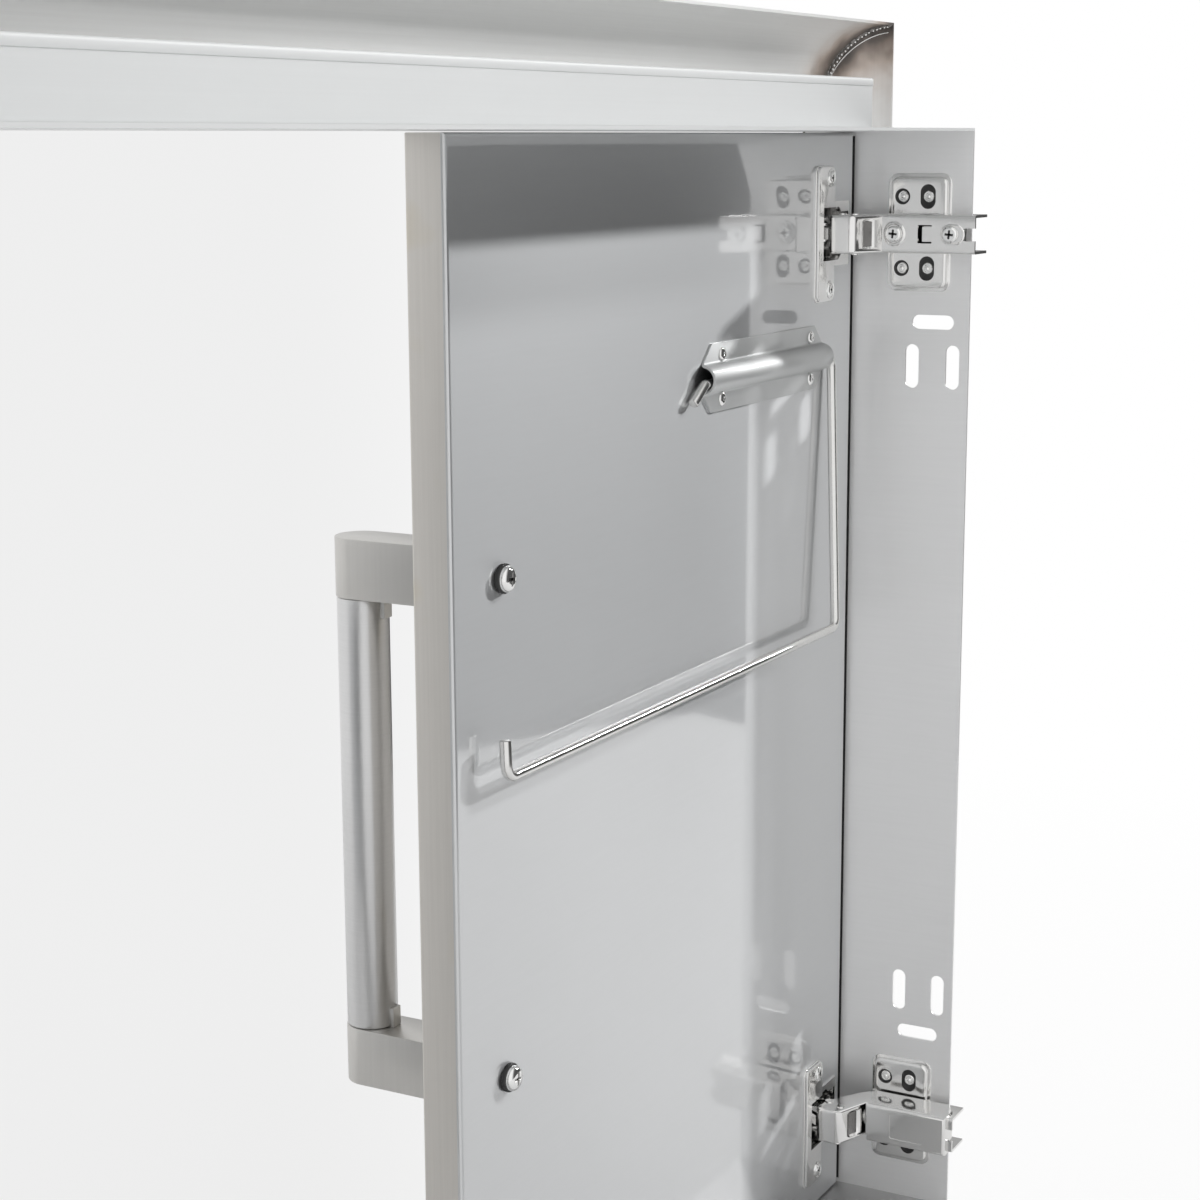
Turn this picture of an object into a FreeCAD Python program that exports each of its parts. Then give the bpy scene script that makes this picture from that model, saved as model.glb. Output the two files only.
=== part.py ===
import FreeCAD, Part
import math
import os
from FreeCAD import Placement, Rotation, Vector

# Double access door for an outdoor kitchen island, in millimetres.
# x runs across the opening, y from the front of the island to its back, z up.
# y = 0 is the face of the island that the trim rests on, z = 0 the bottom edge of the trim.

doc = FreeCAD.newDocument("AccessDoor")
sheet = doc.addObject("Spreadsheet::Sheet", "Sizes")

driving = {
    "openingWidth": 705.0,
    "openingHeight": 510.0,
    "trimFace": 50.0,         # opening edge to the trim's outer edge
    "trimDepth": 24.0,
    "trimRound": 23.4,
    "trimSheet": 1.2,
    "beadWidth": 2.6,
    "beadHeight": 1.5,
    "panelReach": 58.4,       # island face to the liner's rear edge
    "panelSheet": 1.2,
    "stripBack": 10.3,
    "stripTop": 23.6,
    "stripSheet": 1.2,
    "stripHem": 3.2,
    "stripFoot": 14.0,
    "slotLength": 20.0,
    "slotWidth": 6.5,
    "slotFromHinge": 60.4,    # hinge level to the upright slots
    "levelSlotFromHinge": 40.2,
    "slotFront": 31.5,
    "slotPitch": 19.4,
    "leafRecess": 10.5,
    "leafThickness": 16.0,
    "leafSheet": 0.8,
    "leafCorner": 1.0,
    "sideGap": 3.0,
    "centreGap": 3.5,
    "endGap": 0.5,
    "stiffenerWidth": 60.0,
    "stiffenerGap": 8.0,      # towel bracket to the stiffener
    "stiffenerMargin": 40.0,
    "stiffenerSheet": 1.0,
    "hingeInset": 44.8,       # opening's end to each hinge
    "plateFront": 19.1,
    "plateLength": 30.0,
    "plateHeight": 52.6,
    "plateSheet": 2.4,
    "plateCorner": 4.5,
    "plateScrewFront": 7.3,
    "plateScrewPitch": 12.1,
    "plateScrewRise": 16.0,
    "plateHole": 3.4,
    "plateScrewShank": 1.7,
    "plateScrewHead": 2.7,
    "plateScrewLift": 1.6,
    "saddleHeight": 14.0,
    "saddleReach": 60.5,
    "saddleWidth": 14.0,
    "armFace": 19.5,
    "armFoot": 4.0,
    "armWidth": 17.0,
    "armSheet": 1.2,
    "armReach": 67.0,
    "armNotch": 23.5,
    "noseOut": 36.6,
    "noseFront": 5.8,
    "noseBack": 16.5,
    "throatOut": 17.8,
    "throatBack": 11.8,
    "heelOut": 8.6,
    "heelBack": 17.8,
    "armScrewFront": 29.2,
    "armScrewRear": 55.5,
    "armScrewShank": 2.0,
    "armScrewHead": 3.6,
    "armScrewLift": 1.6,
    "coverFront": 25.5,
    "coverRear": 64.6,
    "coverSheet": 1.0,
    "coverDrop": 7.0,
    "overcut": 1.0,           # how far a cutter runs past what it cuts
    "pinRadius": 1.25,
    "pinHead": 1.9,
    "pinHeadLift": 0.5,
    "pinClearance": 0.05,
    "mainArmOut": 26.9,
    "mainArmBack": 7.6,
    "mainCupOut": 15.5,
    "mainCupBack": -9.2,
    "mainElbowOut": 30.0,
    "mainElbowBack": -6.6,
    "idleArmOut": 30.1,
    "idleArmBack": 14.9,
    "idleCupOut": 14.6,
    "idleCupBack": -3.3,
    "idleKneeOut": 31.4,
    "idleKneeBack": 3.6,
    "idleElbowOut": 26.4,
    "idleElbowBack": -5.4,
    "idleEyeOut": 15.1,       # centre of the idle link's open eye, leaf closed
    "idleEyeBack": -2.55,
    "idleEyePlay": 1.05,      # how far the cup pin wanders in that eye
    "idleEyeRim": 0.7,
    "linkWidth": 2.4,
    "linkEye": 2.1,
    "linkSheet": 1.3,
    "linkGap": 0.3,
    "idleSheet": 5.0,
    "earSheet": 1.2,
    "earReach": 3.0,
    "earRim": 2.0,
    "earGap": 0.4,
    "cupNear": 9.4,           # side panel to the cup's near and far walls
    "cupFar": 42.0,
    "cupHeight": 25.0,
    "cupDepth": 15.0,
    "cupSheet": 0.8,
    "cupLip": 1.8,
    "flangeNear": 28.5,
    "flangeFar": 47.0,
    "flangeHeight": 60.0,
    "flangeSheet": 2.2,
    "flangeCorner": 3.0,
    "cupScrewOut": 33.2,
    "cupScrewRise": 24.5,
    "cupScrewShank": 1.6,
    "cupScrewHead": 3.3,
    "cupScrewLift": 0.9,
    "sheetScrewBite": 2.0,    # screw tip past the sheet it holds
    "springWall": 0.9,
    "mainSwing": 15.5,        # degrees, main link between leaf closed and open
    "leafSwing": 80.5,        # degrees, leaf on the main link
    "idleSwing": 8.9,         # degrees, idle link, the other way
    "handleInset": 32.7,
    "handleRise": 8.9,        # handle centre above the opening centre
    "handleSpan": 185.0,
    "postHeight": 22.0,
    "postWidth": 19.5,
    "postReach": 42.7,        # outer face to the tube's axis
    "tubeRadius": 9.5,
    "tubeWall": 1.2,
    "spigotLength": 9.0,
    "spigotClearance": 0.05,
    "handleScrewShank": 2.5,
    "handleScrewBite": 14.0,
    "handleScrewHead": 4.75,
    "handleScrewLift": 2.7,
    "washerRadius": 5.4,
    "washerSheet": 1.8,
    "bracketOut": 160.1,      # side panel to the bracket's far end
    "bracketLength": 121.5,
    "bracketHeight": 28.0,
    "bracketRise": 156.5,     # opening centre to the bracket's middle
    "bracketSheet": 1.0,
    "bracketChamfer": 8.3,
    "sleeveRadius": 5.9,
    "sleeveRise": 0.8,        # leaf's back to the sleeve's centre
    "rivetInset": 12.8,       # bracket's hinge end to its first rivets
    "rivetPitch": 90.6,
    "rivetRise": 9.1,
    "rivetShank": 1.6,
    "rivetHead": 3.0,
    "rivetLift": 1.1,
    "rodRadius": 2.1,
    "rodClearance": 0.3,
    "rodBend": 4.5,
    "rodShoulderBend": 4.0,
    "rodShoulderOut": 32.5,   # side panel to the rod's upper and lower bends
    "rodHeelOut": 34.5,
    "rodDrop": 122.5,
    "rodHookOut": 328.9,
    "rodHookRise": 13.8,
    "rodTailOut": 11.9,
    "rodTailDrop": 7.1,
    "rodTailIn": 0.5,         # the tail leans on the leaf and holds the arm off it
    "rodAxisOut": 2.1,        # sleeve's centre to the rod
    "rodLean": 4.7,           # how much further out the arm's lower run stands
}

for row, (alias, value) in enumerate(driving.items(), 1):
    sheet.set(f"A{row}", alias)
    sheet.set(f"B{row}", str(value))
    sheet.setAlias(f"B{row}", alias)
doc.recompute()


def size(alias):
    return float(sheet.get(alias))


def bound(text):
    return text.replace("$", "Sizes.")


# Places worked out from the driving sizes
halfWidth = size("openingWidth") / 2
halfHeight = size("openingHeight") / 2
middle = size("trimFace") + halfHeight
leafFront = size("leafRecess") - size("trimDepth")
leafBack = leafFront + size("leafThickness")
hingeLevels = (halfHeight - size("hingeInset"), size("hingeInset") - halfHeight)
across = Vector(1, 0, 0)
back = Vector(0, 1, 0)
up = Vector(0, 0, 1)
tiny = 1e-4
nodes = []

leafOuterX = "-($openingWidth / 2 - $sideGap)"
leafInnerX = "-$centreGap / 2"
leafLowZ = "($trimFace + $endGap)"
leafHighZ = "($trimFace + $openingHeight - $endGap)"
leafFrontY = "($leafRecess - $trimDepth)"
leafBackY = "($leafRecess - $trimDepth + $leafThickness)"
middleZ = "($trimFace + $openingHeight / 2)"
hingeRise = "($openingHeight / 2 - $hingeInset)"


def node(label, shape):
    item = doc.addObject("Part::Feature", label)
    item.Label = label
    item.Shape = shape
    nodes.append(item)
    return item


def keep(item, label):
    item.Label = label
    nodes.append(item)
    return item


def block(name, x, y, z):
    item = doc.addObject("Part::Box", name)
    spans = (("Length", "x", x), ("Width", "y", y), ("Height", "z", z))
    for side, place, (low, high) in spans:
        item.setExpression(side, bound(f"{high} - ({low})"))
        item.setExpression(f".Placement.Base.{place}", bound(low))
    return item


def drum(name, radius, length, x, y, z, axis=up):
    item = doc.addObject("Part::Cylinder", name)
    item.Placement = Placement(Vector(), Rotation(up, axis))
    item.setExpression("Radius", bound(radius))
    item.setExpression("Height", bound(length))
    for place, text in (("x", x), ("y", y), ("z", z)):
        item.setExpression(f".Placement.Base.{place}", bound(text))
    return item


def fused(name, items):
    item = doc.addObject("Part::MultiFuse", name)
    item.Shapes = items
    return item


def cut(name, base, tool):
    item = doc.addObject("Part::Cut", name)
    item.Base = base
    item.Tool = tool
    return item


def group(name, items):
    item = doc.addObject("Part::Compound", name)
    item.Links = items
    return item


def rounded(name, base, radius, chosen):
    doc.recompute()
    item = doc.addObject("Part::Fillet", name)
    item.Base = base
    picks = [i for i, edge in enumerate(base.Shape.Edges, 1) if chosen(edge.CenterOfMass)]
    item.Edges = [(i, radius, radius) for i in picks]
    return item


def prism(points, sweep):
    return Part.Face(Part.makePolygon(points + points[:1])).extrude(sweep)


def plan(points, low, high):
    # solid over a plan outline, between two heights
    return prism([Vector(x, y, low) for x, y in points], Vector(0, 0, high - low))


def peg(radius, start, end):
    run = end - start
    return Part.makeCylinder(radius, run.Length, start, run)


def turned(profile, start, axis):
    # solid of revolution from (distance along the axis, radius) pairs
    points = [Vector(r, 0, d) for d, r in profile]
    face = Part.Face(Part.makePolygon(points + points[:1]))
    solid = face.revolve(Vector(), up, 360)
    solid.Placement = Placement(start, Rotation(up, axis))
    return solid


def atHinges(shape, levels=hingeLevels):
    # hinge shapes are drawn at x = distance from the side panel and z = 0
    return [shape.translated(Vector(-halfWidth, 0, middle + level)) for level in levels]


def mirror(shape):
    return shape.mirror(Vector(), across)


def bothSides(shapes):
    return Part.makeCompound(shapes + [mirror(shape) for shape in shapes])


# Trim and its corner beads

def trimProfile():
    face, depth, bend, sheet_ = (size(n) for n in ("trimFace", "trimDepth", "trimRound", "trimSheet"))
    turn = Vector(0, bend - depth, face - bend)

    def onArc(radius, degrees):
        a = math.radians(degrees)
        return turn + Vector(0, -radius * math.cos(a), radius * math.sin(a))

    inner = bend - sheet_
    corners = [Vector(0, -depth, 0), onArc(bend, 0), onArc(bend, 90), Vector(0, 0, face)]
    corners += [Vector(0, 0, face - sheet_), onArc(inner, 90), onArc(inner, 0), Vector(0, sheet_ - depth, 0)]
    edges = []
    for i, corner in enumerate(corners):
        following = corners[(i + 1) % len(corners)]
        if i == 1:
            edges.append(Part.Arc(corner, onArc(bend, 45), following).toShape())
        elif i == 5:
            edges.append(Part.Arc(corner, onArc(inner, 45), following).toShape())
        else:
            edges.append(Part.LineSegment(corner, following).toShape())
    return Part.Face(Part.Wire(edges))


def trimMember(label, half, reach, quarterTurns):
    face, depth = size("trimFace"), size("trimDepth")
    bar = trimProfile()
    bar.translate(Vector(-half - face, 0, reach))
    bar = bar.extrude(Vector(2 * (half + face), 0, 0))
    corners = [(-half, 0), (half, 0), (half + face, face), (-half - face, face)]
    mitre = prism([Vector(x, -depth, reach + n) for x, n in corners], Vector(0, depth, 0))
    item = node(label, bar.common(mitre))
    item.Placement = Placement(Vector(0, 0, middle), Rotation(back, 90 * quarterTurns))
    return item


def cornerBead():
    # a bead lying in the hollow of the trim, half on each mitred member
    face, depth, bend = size("trimFace"), size("trimDepth"), size("trimRound")
    outer = bend - size("trimSheet")
    ring = Part.makeCylinder(outer, face, Vector(-face, 0, 0), across)
    ring = ring.cut(Part.makeCylinder(outer - size("beadHeight"), face, Vector(-face, 0, 0), across))
    ring = ring.common(Part.makeBox(face, depth, face, Vector(-face, -depth, 0)))
    ring.translate(Vector(face, bend - depth, face - bend))
    reach = size("beadWidth") / 2 * math.sqrt(2)
    wedge = [Vector(x, -depth, z) for x, z in ((0, 0), (face, face), (face - reach, face), (-reach, 0))]
    half = ring.common(prism(wedge, Vector(0, depth, 0)))
    other = half.mirror(Vector(), Vector(1, 0, -1).normalize())
    bead = half.fuse(other).removeSplitter()
    return bead.translated(Vector(halfWidth, 0, halfHeight))


trimMember("trim_top", halfWidth, halfHeight, 0)
trimMember("trim_right", halfHeight, halfWidth, 1)
trimMember("trim_bottom", halfWidth, halfHeight, 2)
trimMember("trim_left", halfHeight, halfWidth, 3)

highBeads = [cornerBead(), mirror(cornerBead())]
lowBeads = [bead.mirror(Vector(), up) for bead in highBeads]
beads = node("corner_welds", Part.makeCompound(highBeads + lowBeads))
beads.Placement = Placement(Vector(0, 0, middle), Rotation())


# Liner: two slotted side panels, top and bottom sheets, upturned strip

linerY = ("$trimSheet - $trimDepth", "$panelReach")
sideX = ("-$openingWidth / 2 - $panelSheet", "-$openingWidth / 2")
fullX = ("-$openingWidth / 2 - $panelSheet", "$openingWidth / 2 + $panelSheet")


def slotTool(name, y, z, level):
    # a round-ended slot through the left panel, level or upright
    half = "($slotLength - $slotWidth) / 2"
    width = "$slotWidth / 2"
    if level:
        spanY, spanZ = (f"{y} - {half}", f"{y} + {half}"), (f"{z} - {width}", f"{z} + {width}")
        ends = [(f"{y} {sign} {half}", z) for sign in "+-"]
    else:
        spanY, spanZ = (f"{y} - {width}", f"{y} + {width}"), (f"{z} - {half}", f"{z} + {half}")
        ends = [(y, f"{z} {sign} {half}") for sign in "+-"]
    items = [block(name + "Middle", ("-$openingWidth / 2 - 2 * $panelSheet", "-$openingWidth / 2 + $panelSheet"),
                   spanY, spanZ)]
    for i, (endY, endZ) in enumerate(ends):
        items.append(drum(f"{name}End{i}", width, "3 * $panelSheet",
                          "-$openingWidth / 2 - 2 * $panelSheet", endY, endZ, across))
    return fused(name, items)


slots = []
for i, sign in enumerate("+-"):
    upright = f"({middleZ} {sign} ({hingeRise} - $slotFromHinge))"
    levelZ = f"({middleZ} {sign} ({hingeRise} - $levelSlotFromHinge))"
    slots.append(slotTool(f"FrontSlot{i}", "$slotFront", upright, False))
    slots.append(slotTool(f"RearSlot{i}", "($slotFront + $slotPitch)", upright, False))
    slots.append(slotTool(f"LevelSlot{i}", "($slotFront + $slotPitch / 2)", levelZ, True))
    for j, rise in enumerate("+-"):
        for k in range(2):
            slots.append(drum(f"PlateHole{i}{j}{k}", "$plateScrewShank", "3 * $panelSheet",
                              "-$openingWidth / 2 - 2 * $panelSheet",
                              f"$plateFront + $plateScrewFront + {k} * $plateScrewPitch",
                              f"{middleZ} {sign} {hingeRise} {rise} $plateScrewRise", across))

panel = cut("PanelLeft", block("PanelSheet", sideX, linerY, ("$trimFace", "$trimFace + $openingHeight")),
            fused("PanelHoles", slots))
keep(panel, "panel_left")
doc.recompute()
node("panel_right", mirror(panel.Shape))
keep(block("LinerTop", fullX, linerY,
           ("$trimFace + $openingHeight", "$trimFace + $openingHeight + $panelSheet")), "liner_top")
keep(block("LinerBottom", fullX, linerY, ("$trimFace - $panelSheet", "$trimFace")), "liner_bottom")


def topStrip():
    # angle on the top sheet whose upright edge is hemmed
    low = size("trimFace") + size("openingHeight") + size("panelSheet")
    high = size("trimFace") + size("openingHeight") + size("stripTop")
    rear, sheet_, hem = size("stripBack"), size("stripSheet"), size("stripHem")
    foot = Part.makeBox(2 * halfWidth, size("stripFoot"), sheet_, Vector(-halfWidth, rear - size("stripFoot"), low))
    wall = Part.makeBox(2 * halfWidth, sheet_, high - low - sheet_, Vector(-halfWidth, rear - sheet_, low))
    fold = Part.makeBox(2 * halfWidth, sheet_, hem, Vector(-halfWidth, rear - 2 * sheet_, high - sheet_ - hem))
    crest = Part.makeCylinder(sheet_, 2 * halfWidth, Vector(-halfWidth, rear - sheet_, high - sheet_), across)
    crest = crest.common(Part.makeBox(2 * halfWidth, 2 * sheet_, sheet_,
                                      Vector(-halfWidth, rear - 2 * sheet_, high - sheet_)))
    return foot.fuse([wall, fold, crest]).removeSplitter()


node("top_strip", topStrip())


# Mounting plates and their screws

def plateWing():
    sheet_, radius = size("plateSheet"), size("plateCorner")
    wing = Part.makeBox(sheet_, size("plateLength"), size("plateHeight"),
                        Vector(0, size("plateFront"), -size("plateHeight") / 2))
    wing = wing.makeFillet(radius, [e for e in wing.Edges if abs(e.Length - sheet_) < tiny])
    face = [e for e in wing.Edges if abs(e.CenterOfMass.x - sheet_) < tiny]
    wing = wing.makeChamfer(sheet_ / 3, face)
    for rise in (1, -1):
        z = rise * size("plateScrewRise")
        y = size("plateFront") + size("plateScrewFront")
        wing = wing.cut(peg(size("plateHole"), Vector(sheet_ / 4, y, z), Vector(2 * sheet_, y, z)))
        wing = wing.cut(peg(size("plateScrewShank"), Vector(0, y, z), Vector(sheet_, y, z)))
        y += size("plateScrewPitch")
        for shift in (size("plateHole") / 2, 0, -size("plateHole") / 2):
            wing = wing.cut(peg(size("plateHole"), Vector(sheet_ / 4, y, z + shift), Vector(2 * sheet_, y, z + shift)))
        wing = wing.cut(peg(size("plateScrewShank"), Vector(0, y, z), Vector(sheet_, y, z)))
    return wing


def mountingPlate():
    half = size("saddleWidth") / 2
    saddle = Part.makeBox(size("saddleHeight"), size("saddleReach") - size("plateFront"), 2 * half,
                          Vector(0, size("plateFront"), -half))
    under = Part.makeBox(size("saddleHeight"), size("saddleReach"), 2 * half,
                         Vector(size("plateSheet") - size("saddleHeight"),
                                size("plateFront") + size("plateLength"), -half))
    plate = plateWing().fuse(saddle.cut(under))
    for y in (size("armScrewFront"), size("armScrewRear")):
        plate = plate.cut(peg(size("armScrewShank"), Vector(size("plateSheet"), y, 0),
                              Vector(size("saddleHeight") + size("overcut"), y, 0)))
    return plate.removeSplitter()


def plateScrew(y, z):
    head, lift, shank = size("plateScrewHead"), size("plateScrewLift"), size("plateScrewShank")
    seat = size("plateSheet") / 4
    tip = -size("panelSheet") - size("sheetScrewBite") / 2
    profile = [(tip, 0), (tip, shank), (seat, shank), (seat, head), (seat + lift * 0.6, head),
               (seat + lift, head * 0.55), (seat + lift, 0)]
    return turned(profile, Vector(0, y, z), across)


plateScrews = []
for rise in (1, -1):
    for k in range(2):
        plateScrews.append(plateScrew(size("plateFront") + size("plateScrewFront") + k * size("plateScrewPitch"),
                                      rise * size("plateScrewRise")))
node("mounting_plates", bothSides(atHinges(mountingPlate())))
node("plate_screws", bothSides(sum([atHinges(screw) for screw in plateScrews], [])))


# Hinge arms, their screws, pins and covers

pivotMainArm = Vector(size("mainArmOut"), size("mainArmBack"), 0)
pivotMainCup = Vector(size("mainCupOut"), size("mainCupBack"), 0)
pivotIdleArm = Vector(size("idleArmOut"), size("idleArmBack"), 0)
pivotIdleCup = Vector(size("idleCupOut"), size("idleCupBack"), 0)


def throughPin(centre, radius, half):
    return peg(radius, centre - up * half, centre + up * half)


def armShape():
    half, wall = size("armWidth") / 2, size("armSheet")
    face, foot, reach, notch = (size(n) for n in ("armFace", "armFoot", "armReach", "armNotch"))
    out, front, rear = size("noseOut"), size("noseFront"), size("noseBack")
    heel = (size("heelOut"), size("heelBack"))
    throat = (size("throatOut"), size("throatBack"))
    boss = (pivotMainArm.x - size("linkEye"), pivotMainArm.y)
    toe = (pivotMainArm.x + size("linkEye"), front)
    spine = [(out - wall, front), (out, front), (out, rear), (face, notch), (face, reach), (face - wall, reach)]
    cheek = [(foot, reach), (foot, notch), heel, throat, boss, toe] + spine[1:5]
    solid = plan(cheek, -half, half).fuse(throughPin(pivotMainArm, size("linkEye"), half))
    end = reach + size("overcut")
    inside = [(-foot, end), (-foot, -front), (out - wall, -front), (out - wall, rear - wall),
              (face - wall, notch - wall / 2), (face - wall, end)]
    solid = solid.cut(plan(inside, wall - half, half - wall))
    for pivot in (pivotMainArm, pivotIdleArm):
        solid = solid.cut(throughPin(pivot, size("pinRadius"), half + size("overcut")))
    for y in (size("armScrewFront"), size("armScrewRear")):
        solid = solid.cut(peg(size("armScrewShank"), Vector(face - 2 * wall, y, 0),
                              Vector(face + size("overcut"), y, 0)))
    slotY = (size("armScrewFront") + size("armScrewRear")) / 2
    slot = Part.makeBox(3 * wall, wall, half, Vector(face - 2 * wall, slotY - wall / 2, -half / 2))
    return solid.cut(slot).removeSplitter()


def armScrew(y):
    shank, head, lift, face = (size(n) for n in ("armScrewShank", "armScrewHead", "armScrewLift", "armFace"))
    depth = face - size("plateSheet") - size("overcut")
    profile = [(-depth, 0), (-depth, shank), (0, shank), (0, head), (lift * 0.5, head), (lift, head * 0.7), (lift, 0)]
    return turned(profile, Vector(face, y, 0), across)


def armCover():
    half, wall = size("armWidth") / 2, size("coverSheet")
    low, high = size("armFace") - size("coverDrop"), size("armFace") + size("armScrewLift") + size("coverSheet")
    length = size("coverRear") - size("coverFront")
    shell = Part.makeBox(high - low + wall, length, 2 * (half + wall), Vector(low, size("coverFront"), -half - wall))
    long = [e for e in shell.Edges if abs(e.CenterOfMass.x - high - wall) < tiny]
    shell = shell.makeFillet(wall, long)
    hollow = Part.makeBox(high - low, length, 2 * half, Vector(low, size("coverFront"), -half))
    return shell.cut(hollow)


def rivetedPin(centre):
    half, head, lift = size("armWidth") / 2, size("pinHead"), size("pinHeadLift")
    radius = size("pinRadius")
    profile = [(-half - lift, 0), (-half - lift, head), (-half, head), (-half, radius),
               (half, radius), (half, head), (half + lift, head), (half + lift, 0)]
    return turned(profile, centre, up)


arms = atHinges(armShape())
node("hinge_arms_left", Part.makeCompound(arms))
node("hinge_arms_right", Part.makeCompound([mirror(arm) for arm in arms]))
node("arm_screws", bothSides(atHinges(armScrew(size("armScrewFront"))) + atHinges(armScrew(size("armScrewRear")))))
node("arm_covers", bothSides(atHinges(armCover(), hingeLevels[1:])))
node("arm_pins", bothSides(atHinges(rivetedPin(pivotMainArm)) + atHinges(rivetedPin(pivotIdleArm))))


# Poses of the moving bodies: the left leaf is shut and the right one is open

def about(pivot, degrees):
    return Placement(Vector(), Rotation(up, degrees), pivot)


def rightSide(pivot):
    return Vector(halfWidth - pivot.x, pivot.y, 0)


mainOpen = about(rightSide(pivotMainArm), size("mainSwing"))
leafOpen = mainOpen.multiply(about(rightSide(pivotMainCup), size("leafSwing")))
idleOpen = about(rightSide(pivotIdleArm), -size("idleSwing"))


def onBothLeaves(name, shape, pose=leafOpen):
    # the same piece shut on the left and open on the right
    node("left_" + name, shape)
    item = node("right_" + name, mirror(shape))
    item.Placement = pose


# Hinge links: two outer plates on the main pivots, one inner plate on the idle pivots

def eyeLink(points, radii, holes, low, high):
    width = size("linkWidth") / 2
    parts = []
    for (ax, ay), (bx, by) in zip(points[:-1], points[1:]):
        run = Vector(bx - ax, by - ay, 0)
        side = Vector(-run.y, run.x, 0).normalize() * width
        parts.append(plan([(ax + side.x, ay + side.y), (bx + side.x, by + side.y),
                           (bx - side.x, by - side.y), (ax - side.x, ay - side.y)], low, high))
    for (x, y), radius in zip(points, radii):
        parts.append(Part.makeCylinder(radius, high - low, Vector(x, y, low)))
    solid = parts[0].fuse(parts[1:])
    for (x, y), radius in zip((points[0], points[-1]), holes):
        solid = solid.cut(Part.makeCylinder(radius, high - low, Vector(x, y, low)))
    return solid.removeSplitter()


def mainLinks():
    high = size("armWidth") / 2 - size("armSheet") - size("linkGap")
    low = high - size("linkSheet")
    eye, bend = size("linkEye"), size("linkWidth") / 2
    hole = size("pinRadius") + size("pinClearance")
    points = [pivotMainArm[:2], (size("mainElbowOut"), size("mainElbowBack")), pivotMainCup[:2]]
    plate = eyeLink(points, (eye, bend, eye), (hole, hole), low, high)
    return [plate, plate.mirror(Vector(), up)]


def idleLink():
    half = size("idleSheet") / 2
    eye, bend = size("linkEye"), size("linkWidth") / 2
    hole = size("pinRadius") + size("pinClearance")
    points = [pivotIdleArm[:2], (size("idleKneeOut"), size("idleKneeBack")),
              (size("idleElbowOut"), size("idleElbowBack")), (size("idleEyeOut"), size("idleEyeBack"))]
    openHole = size("pinRadius") + size("idleEyePlay")
    return eyeLink(points, (eye, bend, bend, openHole + size("idleEyeRim")), (hole, openHole), -half, half)


onBothLeaves("main_links", Part.makeCompound(sum([atHinges(plate) for plate in mainLinks()], [])), mainOpen)
onBothLeaves("idle_links", Part.makeCompound(atHinges(idleLink())), idleOpen)


# Hinge cups with their pins, springs and screws

def cupShape():
    wall, lip = size("cupSheet"), size("cupLip")
    near, far, half = size("cupNear"), size("cupFar"), size("cupHeight") / 2
    floor = leafBack - size("cupDepth")
    pan = Part.makeBox(far - near, size("cupDepth"), 2 * half, Vector(near, floor, -half))
    rim = Part.makeBox(far - near, wall, 2 * (half + lip), Vector(near, leafBack, -half - lip))
    flange = Part.makeBox(size("flangeFar") - size("flangeNear"), size("flangeSheet"), size("flangeHeight"),
                          Vector(size("flangeNear"), leafBack, -size("flangeHeight") / 2))
    ends = [e for e in flange.Edges if abs(e.Length - size("flangeSheet")) < tiny]
    flange = flange.makeFillet(size("flangeCorner"), ends)
    hollow = Part.makeBox(far - near - 2 * wall, size("cupDepth") + size("flangeSheet"), 2 * (half - wall),
                          Vector(near + wall, floor + wall, wall - half))
    cup = pan.fuse(rim).fuse(flange).removeSplitter().cut(hollow)
    earLow = size("idleSheet") / 2 + size("earGap")
    for low in (earLow, -earLow - size("earSheet")):
        ear = plan([(near + wall, floor + wall), (pivotMainCup.x + size("earReach"), floor + wall),
                    (pivotIdleCup.x + size("earRim"), pivotIdleCup.y),
                    (pivotIdleCup.x, pivotIdleCup.y + size("earRim")),
                    (near + wall, pivotIdleCup.y)], low, low + size("earSheet"))
        cup = cup.fuse(ear)
    for pivot, reach in ((pivotMainCup, half), (pivotIdleCup, earLow + size("earSheet"))):
        cup = cup.cut(throughPin(pivot, size("pinRadius"), reach))
    for rise in (1, -1):
        z = rise * size("cupScrewRise")
        x = size("cupScrewOut")
        cup = cup.cut(peg(size("cupScrewShank"), Vector(x, leafBack, z), Vector(x, leafBack + size("flangeSheet"), z)))
    return cup.removeSplitter()


def cupScrew(z):
    shank, head, lift, seat = (size(n) for n in ("cupScrewShank", "cupScrewHead", "cupScrewLift", "flangeSheet"))
    tip = -size("leafSheet") - size("sheetScrewBite")
    profile = [(tip, 0), (tip, shank), (seat, shank), (seat, head), (seat + lift * 0.4, head),
               (seat + lift, head * 0.6), (seat + lift, 0)]
    return turned(profile, Vector(size("cupScrewOut"), leafBack, z), back)


def cupPins():
    # the main pin is in two halves, so that the idle link can pass between them
    low = size("idleSheet") / 2 + size("earGap")
    stub = peg(size("pinRadius"), pivotMainCup + up * low, pivotMainCup + up * size("cupHeight") / 2)
    short = throughPin(pivotIdleCup, size("pinRadius"), low + size("earSheet"))
    return [stub, stub.mirror(Vector(), up), short]


def cupSpring():
    # torsion spring round the main pin, as a plain sleeve
    low = size("armWidth") / 2 - size("armSheet") + size("linkGap")
    high = size("cupHeight") / 2 - size("cupSheet") - size("linkGap")
    inner = size("pinRadius") + size("pinClearance")
    sleeve = Part.makeCylinder(inner + size("springWall"), high - low, pivotMainCup + up * low)
    return sleeve.cut(Part.makeCylinder(inner, high - low, pivotMainCup + up * low))


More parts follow.
